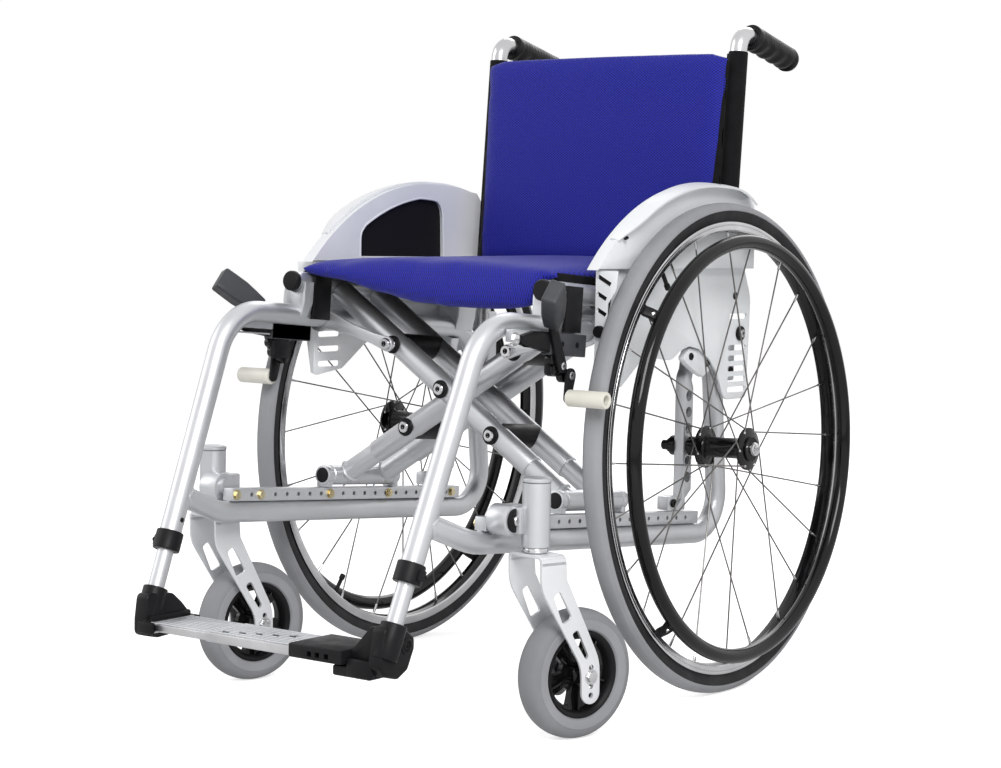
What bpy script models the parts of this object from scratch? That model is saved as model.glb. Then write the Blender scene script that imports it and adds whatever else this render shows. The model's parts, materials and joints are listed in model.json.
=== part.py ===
"""A folding wheelchair with a cross brace under the seat, modelled in metres.

+Z is up, +X is the chair's own left side and -Y is the way it faces. The origin lies on the
floor, midway between the front of the footrest and the back of the rear tyres. All the
lengths below are written in the hub frame, whose y is 0 at the rear axle, and one empty
carries the finished pieces to the origin. The tubes of the side frames are raked, so the
pieces along them are placed in rail coordinates: a runs back along the rails and b up.
"""

import math

import bmesh
import bpy
from mathutils import Matrix, Vector

CLEAR = 0.0003  # gap between two pieces that touch
WELD = 0.00002  # points closer than this are one point

# Rear wheels
WHEEL_X = 0.2436
TYRE_RADIUS = 0.2965
TYRE_DEPTH = 0.0232
TYRE_WIDTH = 0.0250
CAMBER = math.radians(1.52)
RIM_OUTER = TYRE_RADIUS - TYRE_DEPTH + 0.0002
RIM_DEPTH = 0.0110
RIM_INNER = RIM_OUTER - RIM_DEPTH
RIM_WIDTH = 0.0200
HUB_FLANGE_OUT = 0.0317
HUB_FLANGE_IN = -0.0276
HUB_FLANGE_RADIUS = 0.0257
HUB_BARREL_RADIUS = 0.0135
WHEEL_FACETS = 36
SPOKES = 24
SPOKE_RADIUS = 0.0010
SPOKE_LEAN = math.radians(62)
SPOKE_LAYER = 0.0019
HANDRIM_INSET = 0.0243
HANDRIM_RADIUS = RIM_OUTER - HANDRIM_INSET
HANDRIM_OFFSET = 0.0300
HANDRIM_TUBE = 0.0090
HANDRIM_TABS = 4
AXLE_RADIUS = 0.0060
AXLE_INNER_X = 0.1560

# Side frames
RAKE = math.radians(4.22)
HUB_Z = 0.2965
SIDE_X = 0.1860
TUBE_RADIUS = 0.0127
TOP_B = 0.1285
LOWER_B = -0.1100
UPRIGHT_TOP_A = 0.0480
UPRIGHT_BOTTOM_A = 0.0913
KINK_A = -0.4240
LEG_FOOT_X = 0.1735
LEG_FOOT_Y = -0.5469
LEG_FOOT_Z = 0.1413
LEG_RAKE = 0.4089  # backward run of the leg for each metre of height
LEG_TUBE_END_Z = 0.1900
LEG_WELD_Z = 0.2455
FRONT_BEND = 0.0700
REAR_BEND = 0.0650
BOTTOM_BEND = 0.0480
KINK_BEND = 0.1000
FOOT_TUBE_RADIUS = 0.0095
FOOT_TUBE_TOP_Z = 0.2620
FOOT_TUBE_DEPTH = 0.0250

# Hole rail on the lower tube
RAIL_WIDTH = 0.0160
RAIL_HEIGHT = 0.0155
RAIL_FRONT_A = -0.4110
RAIL_REAR_A = 0.0300
RAIL_HOLE = 0.0025
RAIL_PITCH = 0.0321
RAIL_HOLES = 12

# Cross brace and seat rails
BRACE_B = 0.0500
BRACE_PIVOT_X = 0.1820
BRACE_PIVOT_B = -0.0665
SEAT_RAIL_X = 0.1860
SEAT_RAIL_B = 0.1690
SEAT_RAIL_RADIUS = 0.0120
SEAT_RAIL_FRONT_A = -0.3200
SEAT_RAIL_REAR_A = 0.0280
ARM_RADIUS = 0.0140
ARM_INNER_RADIUS = 0.0125
ARM_STEP_X = 0.1300
ARM_BOLT_REACH = 0.0920
ARM_TUBES = {-1: (-0.206, -0.133), 1: (-0.241, -0.168)}
PIVOT_TUBES = {-1: (-0.236, -0.119), 1: (-0.255, -0.142)}
PIVOT_TUBE_RADIUS = 0.01225
PIVOT_PIN_RADIUS = 0.0055
SPACER_RADIUS = 0.0145
LINK_THICKNESS = 0.0045
LINK_WIDTH = 0.0180
BOLT_HEAD = 0.0070
CENTRE_BOLT_RADIUS = 0.0040
BOLT_WASHER = 0.0110

# Casters
CASTER_X = 0.2387
CASTER_Y = -0.3870
CASTER_RADIUS = 0.0719
CASTER_WIDTH = 0.0342
CASTER_HUB_RADIUS = 0.0481
CASTER_FACETS = 24
CASTER_TRAIL = 0.0580
CASTER_TURN = {-1: math.radians(13.1), 1: math.radians(15.8)}
FORK_HALF_WIDTH = 0.0290
FORK_PLATE = 0.0035
FORK_TOP_Z = 0.2084
FORK_CROWN = 0.0040
STEM_RADIUS = 0.0060
HOUSING_BOTTOM_Z = 0.2150
HOUSING_TOP_Z = 0.2860
HOUSING_RADIUS = 0.0155
BARREL_RADIUS = 0.0172
BARREL_Y = -0.4080
BARREL_Z = 0.2440
BARREL_END_X = 0.2250

# Footrest
CASTING_IN_X = 0.1560
CASTING_OUT_X = 0.1890
BOARD_AHEAD = 0.0306  # how far the board reaches in front of the leg's foot
BOARD_DEPTH = 0.0655
BOARD_FRONT_Y = LEG_FOOT_Y - BOARD_AHEAD
BOARD_REAR_Y = BOARD_FRONT_Y + BOARD_DEPTH
BOARD_SLOT = 0.0150
BOARD_TOP_Z = 0.1120
BOARD_THICKNESS = 0.0140
BOARD_END_X = 0.1310
BOARD_HINGE_X = -0.1475
HINGE_RADIUS = 0.0065
HINGE_PIN = 0.0028

# Backrest
POST_BASE_Z = 0.4150
POST_Y_AT_BASE = 0.0760
POST_LEAN = 0.0803  # backward run for each metre of height
POST_RADIUS = 0.0110
HANDLE_Z = 0.8090
HANDLE_BEND = 0.0200
HANDLE_DROOP = math.radians(12.0)
GRIP_START = 0.0260  # measured along the handle from its bend
GRIP_LENGTH = 0.1060
GRIP_RADIUS = 0.0160
SLEEVE_RADIUS = 0.0150
BACK_BOTTOM_Z = 0.5050
BACK_TOP_Z = 0.7950
BACK_THICKNESS = 0.0220

# Seat cushion
CUSHION_HALF_WIDTH = 0.1780
CUSHION_FRONT_Y = -0.3000
CUSHION_REAR_Y = 0.0620
CUSHION_FRONT_Z = 0.5065
CUSHION_REAR_Z = 0.5160
CUSHION_CROWN = 0.0100
CUSHION_LIP_Z = 0.4655

# Side guards
GUARD_X = 0.2105
GUARD_THICKNESS = 0.0030
FENDER_IN_X = 0.2045
FENDER_LIP_X = 0.2350
FENDER_LIP = 0.0040
FENDER_RECESS = 0.0060
FENDER_BASE_Z = 0.5130
FENDER_GAP = 0.0235  # between the tyre and the fender's top edge
FENDER_FLARE = 0.0140

# Brakes
ROLLER_RADIUS = 0.0095
ROLLER_GAP = 0.0064
ROLLER_RISE = math.radians(13.68)
ROLLER_OUT_X = 0.2710
LEVER_IN_X = 0.2125
LEVER_THICKNESS = 0.0040
LEVER_PIVOT_A = -0.3170
LEVER_PIVOT_B = 0.0860
LEVER_GRIP_FOOT = (0.2180, -0.3310, 0.4550)
LEVER_GRIP_END = (0.2480, -0.3770, 0.4940)
GRIP_THICKNESS = 0.0140
GRIP_WIDTH = 0.0240
ARM_PIVOT_A = -0.3050
ARM_PIVOT_B = 0.0760
ARM_THICKNESS = 0.0036

FRONT_REACH = BOARD_FRONT_Y - 0.0065
SHIFT_Y = -(FRONT_REACH + TYRE_RADIUS) / 2
SIDES = {-1: "right", 1: "left"}

FINISHES = {
    "silver paint": ((0.62, 0.63, 0.66), 0.35, 0.65),
    "bare steel": ((0.70, 0.70, 0.70), 0.25, 1.0),
    "black plastic": ((0.012, 0.012, 0.014), 0.45, 0.0),
    "dark grey plastic": ((0.055, 0.058, 0.065), 0.50, 0.0),
    "grey tyre": ((0.26, 0.27, 0.29), 0.75, 0.0),
    "black gloss": ((0.010, 0.010, 0.011), 0.18, 0.2),
    "pale guard": ((0.72, 0.74, 0.78), 0.40, 0.0),
    "cream plastic": ((0.78, 0.76, 0.68), 0.45, 0.0),
    "blue fabric": ((0.010, 0.018, 0.38), 0.85, 0.0),
    "aluminium": ((0.55, 0.55, 0.56), 0.40, 0.9),
}


def clear_scene():
    for obj in list(bpy.data.objects):
        bpy.data.objects.remove(obj)


def rail_point(x, a, b):
    """A point given by rail coordinates, in the hub frame."""
    y = a * math.cos(RAKE) + b * math.sin(RAKE)
    z = HUB_Z - a * math.sin(RAKE) + b * math.cos(RAKE)
    return Vector((x, y, z))


def knee_height():
    """Where the leg's line meets the top tube's."""
    slope = math.tan(RAKE)
    start = LEG_FOOT_Y - LEG_FOOT_Z * LEG_RAKE
    return (HUB_Z + TOP_B / math.cos(RAKE) - start * slope) / (1 + LEG_RAKE * slope)


def leg_point(side, z):
    rise = z - LEG_FOOT_Z
    spread = (SIDE_X - LEG_FOOT_X) * rise / (knee_height() - LEG_FOOT_Z)
    return Vector((side * (LEG_FOOT_X + spread), LEG_FOOT_Y + rise * LEG_RAKE, z))


def snug(radius, sides=12):
    """The corner radius of a many-sided hole that clears a round of this radius."""
    return (radius + CLEAR) / math.cos(math.pi / sides)


def post_point(side, z):
    return Vector((side * SIDE_X, POST_Y_AT_BASE + (z - POST_BASE_Z) * POST_LEAN, z))


def aligned(origin, direction, up=(0.0, 0.0, 1.0)):
    """A frame at origin whose z axis runs along direction and whose x axis is square to up."""
    z_axis = Vector(direction).normalized()
    x_axis = Vector(up).cross(z_axis)
    if x_axis.length < 1e-6:
        x_axis = Vector((1.0, 0.0, 0.0))
    x_axis.normalize()
    y_axis = z_axis.cross(x_axis)
    frame = Matrix((x_axis, y_axis, z_axis)).transposed().to_4x4()
    frame.translation = Vector(origin)
    return frame


def across(x):
    """A frame for outlines drawn as (y, z) and thickened along x."""
    frame = Matrix(((0, 0, 1), (1, 0, 0), (0, 1, 0))).to_4x4()
    frame.translation = Vector((x, 0, 0))
    return frame


def along_rail(a):
    """A frame for outlines drawn as (x, b) in a plane square to the rails."""
    forward = Vector((0, -math.cos(RAKE), math.sin(RAKE)))
    up = Vector((0, math.sin(RAKE), math.cos(RAKE)))
    frame = Matrix((Vector((1, 0, 0)), up, forward)).transposed().to_4x4()
    frame.translation = rail_point(0, a, 0)
    return frame


def new_object(name, data):
    obj = bpy.data.objects.new(name, data)
    bpy.context.scene.collection.objects.link(obj)
    return obj


def baked(obj):
    """The object as a welded mesh with its modifiers applied."""
    graph = bpy.context.evaluated_depsgraph_get()
    mesh = bpy.data.meshes.new_from_object(obj.evaluated_get(graph))
    work = bmesh.new()
    work.from_mesh(mesh)
    bmesh.ops.transform(work, matrix=obj.matrix_world, verts=work.verts)
    bmesh.ops.remove_doubles(work, verts=work.verts, dist=WELD)
    bmesh.ops.dissolve_degenerate(work, edges=work.edges, dist=WELD)
    bmesh.ops.recalc_face_normals(work, faces=work.faces)
    work.to_mesh(mesh)
    work.free()
    made = new_object(obj.name, mesh)
    bpy.data.objects.remove(obj)
    return made


def shape(make, matrix=None):
    """A mesh object from one bmesh primitive, laid down by a matrix."""
    work = bmesh.new()
    make(work)
    if matrix is not None:
        bmesh.ops.transform(work, matrix=matrix, verts=work.verts)
    mesh = bpy.data.meshes.new("shape")
    work.to_mesh(mesh)
    work.free()
    return new_object("shape", mesh)


def box(low, high, frame=None):
    low, high = Vector(low), Vector(high)
    place = Matrix.Translation((low + high) / 2) @ Matrix.Diagonal((*(high - low), 1.0))
    if frame is not None:
        place = frame @ place
    return shape(lambda work: bmesh.ops.create_cube(work, size=1.0), place)


def rod(start, end, radius, sides=12):
    start, end = Vector(start), Vector(end)
    place = aligned((start + end) / 2, end - start)

    def make(work):
        bmesh.ops.create_cone(
            work,
            cap_ends=True,
            segments=sides,
            radius1=radius,
            radius2=radius,
            depth=(end - start).length,
        )

    return shape(make, place)


def side_rod(x_start, x_end, y, z, radius, sides=12):
    return rod((x_start, y, z), (x_end, y, z), radius, sides)


def rail_rod(x, a_start, a_end, b, radius, sides=12):
    return rod(rail_point(x, a_start, b), rail_point(x, a_end, b), radius, sides)


def tube(points, radius, resolution=3):
    """A round bar along a path, from a curve with a bevel."""
    curve = bpy.data.curves.new("tube", "CURVE")
    curve.dimensions = "3D"
    curve.bevel_depth = radius
    curve.bevel_resolution = resolution
    curve.use_fill_caps = True
    curve.render_resolution_u = 0
    spline = curve.splines.new("POLY")
    spline.points.add(len(points) - 1)
    for knot, place in zip(spline.points, points):
        knot.co = (*place, 1.0)
    return baked(new_object("tube", curve))


def slab(outline, thickness, frame):
    """A flat outline thickened evenly to both sides of its plane."""
    curve = bpy.data.curves.new("slab", "CURVE")
    curve.dimensions = "2D"
    curve.fill_mode = "BOTH"
    curve.extrude = thickness / 2
    curve.render_resolution_u = 0
    spline = curve.splines.new("POLY")
    spline.points.add(len(outline) - 1)
    for knot, place in zip(spline.points, outline):
        knot.co = (place[0], place[1], 0.0, 1.0)
    spline.use_cyclic_u = True
    obj = new_object("slab", curve)
    obj.matrix_world = frame
    bpy.context.view_layer.update()
    return baked(obj)


def turned(profile, frame, steps=16, closed=True):
    """A profile of (radius, height) points turned about the frame's z axis."""
    count = len(profile)
    edges = [(i, (i + 1) % count) for i in range(count if closed else count - 1)]
    mesh = bpy.data.meshes.new("turned")
    mesh.from_pydata([(radius, 0.0, height) for radius, height in profile], edges, [])
    obj = new_object("turned", mesh)
    screw = obj.modifiers.new("turn", "SCREW")
    screw.steps = steps
    screw.render_steps = steps
    screw.use_merge_vertices = True
    screw.merge_threshold = WELD
    obj.matrix_world = frame
    bpy.context.view_layer.update()
    return baked(obj)


def arc(centre, radius, start, end, steps):
    """Points of a round stretch, its angles in degrees."""
    points = []
    for i in range(steps + 1):
        angle = math.radians(start + (end - start) * i / steps)
        points.append((centre[0] + radius * math.cos(angle), centre[1] + radius * math.sin(angle)))
    return points


def bent_path(corners, radii, step=math.radians(22)):
    """The axis of a bent tube: straight runs joined by round bends at the inner corners."""
    corners = [Vector(corner) for corner in corners]
    path = [corners[0]]
    for before, corner, after, radius in zip(corners, corners[1:], corners[2:], radii):
        back = (before - corner).normalized()
        ahead = (after - corner).normalized()
        turn = math.pi - back.angle(ahead)
        reach = radius * math.tan(turn / 2)
        middle = corner + (back + ahead).normalized() * radius / math.cos(turn / 2)
        first = corner + back * reach
        axis = (first - middle).cross(-back).normalized()
        steps = max(1, round(turn / step))
        for i in range(steps + 1):
            path.append(middle + Matrix.Rotation(turn * i / steps, 3, axis) @ (first - middle))
    path.append(corners[-1])
    return path


def with_boolean(obj, other, operation):
    modifier = obj.modifiers.new(operation.lower(), "BOOLEAN")
    modifier.operation = operation
    modifier.solver = "EXACT"
    modifier.object = other
    return modifier


def joined(pieces):
    """One solid from several that overlap."""
    body = pieces[0]
    for piece in pieces[1:]:
        with_boolean(body, piece, "UNION")
        body = baked(body)
        bpy.data.objects.remove(piece)
    return body


def grouped(pieces):
    """One object from several that stay clear of each other."""
    work = bmesh.new()
    for piece in pieces:
        work.from_mesh(piece.data)
        bpy.data.objects.remove(piece)
    mesh = bpy.data.meshes.new("group")
    work.to_mesh(mesh)
    work.free()
    return new_object("group", mesh)


def cut(obj, cutters):
    """The object with holes. The cutters stay in the scene, as wires in their own collection."""
    for cutter in cutters:
        with_boolean(obj, cutter, "DIFFERENCE")
        cutter.name = "cutter"
        cutter.hide_render = True
        cutter.display_type = "WIRE"
        bpy.context.scene.collection.objects.unlink(cutter)
        CUTTERS.objects.link(cutter)
        cutter.parent = HUB_FRAME
    return obj


def material(name):
    if name in bpy.data.materials:
        return bpy.data.materials[name]
    colour, roughness, metallic = FINISHES[name]
    made = bpy.data.materials.new(name)
    made.use_nodes = True
    shader = made.node_tree.nodes["Principled BSDF"]
    shader.inputs["Base Color"].default_value = (*colour, 1.0)
    shader.inputs["Roughness"].default_value = roughness
    shader.inputs["Metallic"].default_value = metallic
    made.diffuse_color = (*colour, 1.0)
    return made


def finish(name, obj, finish_name, axis_point=(0.0, 0.0, 0.0)):
    """Names a piece, gives it its material and puts its origin on its joint's axis."""
    origin = Vector(axis_point)
    obj.name = name
    obj.data.name = name
    obj.data.transform(Matrix.Translation(-origin))
    obj.location = origin
    obj.data.materials.clear()
    obj.data.materials.append(material(finish_name))
    obj.data.shade_smooth()
    obj.data.set_sharp_from_angle(angle=math.radians(35))
    bpy.context.scene.collection.objects.unlink(obj)
    PARTS.objects.link(obj)
    obj.parent = HUB_FRAME
    return obj


def side_frame(side):
    """The bent tube of one side: leg, top tube, upright and lower tube, with the kicked front end."""
    x = side * SIDE_X
    knee = leg_point(side, knee_height())
    loop = bent_path(
        [
            leg_point(side, LEG_TUBE_END_Z),
            knee,
            rail_point(x, UPRIGHT_TOP_A, TOP_B),
            rail_point(x, UPRIGHT_BOTTOM_A, LOWER_B),
            rail_point(x, KINK_A + 0.075, LOWER_B),
        ],
        [FRONT_BEND, REAR_BEND, BOTTOM_BEND],
    )
    front_end = bent_path(
        [
            rail_point(x, KINK_A + 0.080, LOWER_B),
            rail_point(x, KINK_A, LOWER_B),
            leg_point(side, LEG_WELD_Z),
        ],
        [KINK_BEND],
    )
    rear_seat = joined([tube(loop, TUBE_RADIUS), tube(front_end, TUBE_RADIUS + 0.0001)])
    body = joined([rear_seat, cradle_block(side, -0.008, 0.029)])
    axis = leg_point(side, LEG_WELD_Z) - leg_point(side, LEG_TUBE_END_Z)
    low = leg_point(side, LEG_TUBE_END_Z) - axis.normalized() * 0.01
    cut(body, [rod(low, leg_point(side, FOOT_TUBE_TOP_Z + 0.002), snug(FOOT_TUBE_RADIUS))])
    return finish(SIDES[side] + "_side_frame", body, "silver paint")


def cradle_block(side, a_start, a_end):
    """A block that grips the top tube and cups the seat rail above it."""
    x = side * SIDE_X
    half = SEAT_RAIL_RADIUS + 0.0060
    cup = snug(SEAT_RAIL_RADIUS)
    outline = [(x - half, TOP_B - 0.004), (x + half, TOP_B - 0.004), (x + half, SEAT_RAIL_B)]
    outline += arc((x, SEAT_RAIL_B), cup, 0, -180, 6)
    outline += [(x - half, SEAT_RAIL_B)]
    return slab(outline, abs(a_end - a_start), along_rail((a_start + a_end) / 2))


def seat_cradle(side):
    block = cradle_block(side, -0.3050, -0.2720)
    tube_bore = rail_rod(side * SIDE_X, -0.32, -0.26, TOP_B, snug(TUBE_RADIUS))
    return finish(SIDES[side] + "_seat_cradle", cut(block, [tube_bore]), "black plastic")


def hole_rail(side):
    """The square rail on the lower tube, with its row of holes and the heads of its bolts."""
    x = side * SIDE_X
    low_b = LOWER_B + TUBE_RADIUS + CLEAR
    frame = along_rail(0.0)
    bar = box(
        (x - RAIL_WIDTH / 2, low_b, -RAIL_REAR_A),
        (x + RAIL_WIDTH / 2, low_b + RAIL_HEIGHT, -RAIL_FRONT_A),
        frame,
    )
    middle_b = low_b + RAIL_HEIGHT / 2
    head_x = side * (SIDE_X - RAIL_WIDTH / 2)
    for place in (1, 2, 4, 7, 10):
        head = rail_point(0, RAIL_FRONT_A + 0.012 + RAIL_PITCH * (place - 0.5), middle_b)
        bolt = side_rod(head_x + side * 0.002, head_x - side * 0.004, head.y, head.z, 0.0048, 6)
        bar = joined([bar, bolt])
    cutters = []
    for i in range(RAIL_HOLES):
        hole = rail_point(0, RAIL_FRONT_A + 0.012 + RAIL_PITCH * i, middle_b)
        cutters.append(side_rod(x - 0.02, x + 0.02, hole.y, hole.z, RAIL_HOLE, 6))
    return finish(SIDES[side] + "_hole_rail", cut(bar, cutters), "silver paint")


def axle_direction(side):
    return Vector((side * math.cos(CAMBER), 0.0, math.sin(CAMBER)))


def wheel_frame(side):
    """The rear wheel's own frame: z runs outboard along the axle."""
    return aligned((side * WHEEL_X, 0.0, wheel_height()), axle_direction(side), (0, 1, 0))


def axle_plate(side):
    """The upright bar between the top tube and the rail, with a row of axle holes."""
    half_depth = 0.0095
    hole_pitch = 0.0200
    x_in, x_out = 0.1790, 0.1940
    top = rail_point(0, -0.0110, TOP_B - TUBE_RADIUS - 3 * CLEAR)
    foot = rail_point(0, -0.012, LOWER_B + TUBE_RADIUS + 2 * CLEAR + RAIL_HEIGHT)
    front = [(-0.0100, 0.3787), (-0.0100, 0.2385)]
    outline = [
        (foot.y - half_depth, foot.z + 0.0008),
        (foot.y + half_depth, foot.z),
        (front[1][0] + 2 * half_depth, front[1][1]),
        (front[0][0] + 2 * half_depth, front[0][1]),
        (top.y + half_depth, top.z - 0.0008),
        (top.y - half_depth, top.z),
        front[0],
        front[1],
    ]
    bar = slab(outline, x_out - x_in, across(side * (x_in + x_out) / 2))
    block_top = rail_point(0, -0.045, LOWER_B + TUBE_RADIUS + 2 * CLEAR + RAIL_HEIGHT)
    block = box(
        (min(side * 0.1792, side * 0.1938), foot.y - 0.032, block_top.z + 0.0008),
        (max(side * 0.1792, side * 0.1938), foot.y - half_depth + 0.004, block_top.z + 0.018),
    )
    bar = joined([bar, block])
    cutters = []
    direction = axle_direction(side)
    for step in (-2, -1, 0, 1, 2, 3):
        centre = Vector((side * WHEEL_X, 0.0, wheel_height() + hole_pitch * step))
        reach = (WHEEL_X - 0.1865) / math.cos(CAMBER)
        middle = centre - direction * reach
        cutters.append(rod(middle - direction * 0.02, middle + direction * 0.02, 0.0067, 10))
    return finish(SIDES[side] + "_axle_plate", cut(bar, cutters), "silver paint")


def wheel_axle(side):
    """The quick-release axle: a long pin with a nut inboard of the bar and a cap outboard."""
    frame = wheel_frame(side)
    inner = -(WHEEL_X - AXLE_INNER_X)
    bar_in = -(WHEEL_X - 0.1790) - 0.0006
    bar_out = -(WHEEL_X - 0.1940) + 0.0006
    hub_in = HUB_FLANGE_IN - 0.0060 - CLEAR
    hub_out = HUB_FLANGE_OUT + 0.0060 + CLEAR
    profile = [
        (0.0, inner),
        (0.0075, inner),
        (0.0085, inner + 0.002),
        (0.0085, inner + 0.012),
        (0.0125, inner + 0.012),
        (0.0125, bar_in),
        (AXLE_RADIUS, bar_in),
        (AXLE_RADIUS, bar_out),
        (0.0120, bar_out),
        (0.0120, hub_in),
        (AXLE_RADIUS, hub_in),
        (AXLE_RADIUS, hub_out),
        (0.0100, hub_out),
        (0.0100, hub_out + 0.004),
        (0.0060, hub_out + 0.0075),
        (0.0, hub_out + 0.0075),
    ]
    body = turned(profile, frame, 12, closed=False)
    return finish(SIDES[side] + "_wheel_axle", body, "bare steel", frame.translation)


def tyre_section():
    """The rear tyre's section, as (radius, offset along the axle)."""
    middle = TYRE_RADIUS - TYRE_DEPTH / 2
    bead = RIM_OUTER + CLEAR
    section = [(bead, -0.0080), (bead, 0.0080)]
    for angle in (110, 65, 20, -20, -65, -110):
        turn = math.radians(angle)
        radius = middle + TYRE_DEPTH / 2 * math.cos(turn) / math.cos(math.radians(20))
        section.append((radius, TYRE_WIDTH / 2 * math.sin(turn)))
    return section


def wheel_height():
    """The height of the rear axle at which the leaning tyre just touches the floor."""
    return max(r * math.cos(CAMBER) + abs(h) * math.sin(CAMBER) for r, h in tyre_section())


def rear_tyre(side):
    frame = wheel_frame(side)
    body = turned(tyre_section(), frame, WHEEL_FACETS)
    return finish(SIDES[side] + "_tyre", body, "grey tyre", frame.translation)


def rear_rim(side):
    frame = wheel_frame(side)
    half = RIM_WIDTH / 2
    profile = [
        (RIM_OUTER, -half),
        (RIM_OUTER, half),
        (RIM_INNER + 0.0020, half + 0.0004),
        (RIM_INNER - 0.002, 0.0),
        (RIM_INNER + 0.0020, -half - 0.0004),
    ]
    body = turned(profile, frame, WHEEL_FACETS)
    return finish(SIDES[side] + "_rim", body, "bare steel", frame.translation)


def rear_hub(side):
    """The hub with its crossed spokes, which stop just short of the rim."""
    frame = wheel_frame(side)
    end_in = HUB_FLANGE_IN - 0.0060
    end_out = HUB_FLANGE_OUT + 0.0060
    bore = AXLE_RADIUS + CLEAR
    profile = [(bore, end_in), (0.0110, end_in)]
    for flange, back, ahead in ((HUB_FLANGE_IN, -1, 1), (HUB_FLANGE_OUT, -1, 1)):
        profile += [
            (HUB_BARREL_RADIUS, flange + back * 0.0035),
            (HUB_FLANGE_RADIUS, flange + back * 0.0018),
            (HUB_FLANGE_RADIUS, flange + ahead * 0.0018),
            (HUB_BARREL_RADIUS, flange + ahead * 0.0035),
        ]
    profile += [(0.0150, end_out - 0.002), (0.0150, end_out), (bore, end_out)]
    body = turned(profile, frame, 12)
    rim_face = (RIM_INNER - 0.002) * math.cos(math.pi / WHEEL_FACETS) - CLEAR
    wires = []
    for i in range(SPOKES):
        angle = 2 * math.pi * i / SPOKES
        flange = HUB_FLANGE_IN if i % 2 else HUB_FLANGE_OUT
        lean = SPOKE_LEAN if (i // 2) % 2 else -SPOKE_LEAN
        layer = SPOKE_LAYER if (i // 2) % 2 else -SPOKE_LAYER
        foot = HUB_FLANGE_RADIUS - 0.0030
        start = Vector((foot * math.cos(angle + lean), foot * math.sin(angle + lean), flange + layer))
        nipple = math.copysign(0.0020, flange)
        end = Vector((rim_face * math.cos(angle), rim_face * math.sin(angle), nipple))
        wires.append(rod(frame @ start, frame @ end, SPOKE_RADIUS, 3))
    body = joined([body, grouped(wires)])
    return finish(SIDES[side] + "_hub", body, "black plastic", frame.translation)


def handrim(side):
    """The push ring, with the tabs that hold it to the rim."""
    frame = wheel_frame(side)
    section = arc((HANDRIM_RADIUS, HANDRIM_OFFSET), HANDRIM_TUBE, 0, 300, 5)
    body = turned(section, frame, WHEEL_FACETS)
    rim_side = RIM_WIDTH / 2 + CLEAR
    for i in range(HANDRIM_TABS):
        angle = math.radians(50 + 360 * i / HANDRIM_TABS)
        spin = frame @ Matrix.Rotation(angle, 4, "Z")
        reach = Vector((RIM_OUTER - 0.0060, 0.0, rim_side + 0.0004))
        ring = Vector((HANDRIM_RADIUS + 0.004, 0.0, HANDRIM_OFFSET - 0.003))
        path = [reach, reach + Vector((0.0, 0.0, 0.004)), ring]
        body = joined([body, tube([spin @ point for point in path], 0.0032, 1)])
    return finish(SIDES[side] + "_handrim", body, "black gloss", frame.translation)


def caster_frame(side):
    """The swivelled caster's frame: origin under the stem on the floor, y along the trail."""
    turn = CASTER_TURN[side]
    return Matrix.Translation((side * CASTER_X, CASTER_Y, 0.0)) @ Matrix.Rotation(-turn, 4, "Z")


def caster_wheel_frame(side):
    centre = Matrix.Translation((0.0, CASTER_TRAIL, CASTER_RADIUS))
    return caster_frame(side) @ centre @ Matrix.Rotation(math.radians(90), 4, "Y")


def caster_tyre(side):
    frame = caster_wheel_frame(side)
    half = CASTER_WIDTH / 2
    bead = CASTER_HUB_RADIUS
    profile = [
        (bead, -half + 0.002),
        (bead, half - 0.002),
        (CASTER_RADIUS - 0.012, half),
        (CASTER_RADIUS - 0.003, half - 0.006),
        (CASTER_RADIUS, half - 0.013),
        (CASTER_RADIUS, -half + 0.013),
        (CASTER_RADIUS - 0.003, -half + 0.006),
        (CASTER_RADIUS - 0.012, -half),
    ]
    body = turned(profile, frame, CASTER_FACETS)
    return finish(SIDES[side] + "_caster_tyre", body, "grey tyre", frame.translation)


def caster_rim(side):
    """The five-spoke caster wheel centre."""
    frame = caster_wheel_frame(side)
    outer = (CASTER_HUB_RADIUS - CLEAR) * math.cos(math.pi / CASTER_FACETS)
    ring = [(outer, -0.0150), (outer, 0.0150), (outer - 0.0065, 0.0135), (outer - 0.0065, -0.0135)]
    body = turned(ring, frame, CASTER_FACETS)
    boss_end = FORK_HALF_WIDTH - FORK_PLATE - CLEAR
    bore = 0.0035 + CLEAR
    boss = [
        (bore, -boss_end),
        (0.0075, -boss_end),
        (0.0075, -0.0150),
        (0.0130, -0.0125),
        (0.0130, 0.0125),
        (0.0075, 0.0150),
        (0.0075, boss_end),
        (bore, boss_end),
    ]
    spokes = []
    for i in range(5):
        spin = frame @ Matrix.Rotation(2 * math.pi * i / 5, 4, "Z")
        spokes.append(box((0.0110, -0.0055, -0.0090), (outer - 0.0040, 0.0055, 0.0090), spin))
    body = joined([body, spokes[0], turned(boss, frame, 12)] + spokes[1:])
    return finish(SIDES[side] + "_caster_rim", body, "black plastic", frame.translation)


def fork_outline():
    """One cheek of the fork, as (distance along the trail, height)."""
    end = 0.0126
    foot_z = 0.0417 + end
    outline = [(-0.0145, FORK_TOP_Z), (-0.0138, 0.173), (0.0445, 0.083)]
    outline += arc((CASTER_TRAIL, foot_z), end, 180, 360, 6)
    outline += [(0.0700, 0.089), (0.022, 0.181), (0.020, FORK_TOP_Z)]
    return outline


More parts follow.
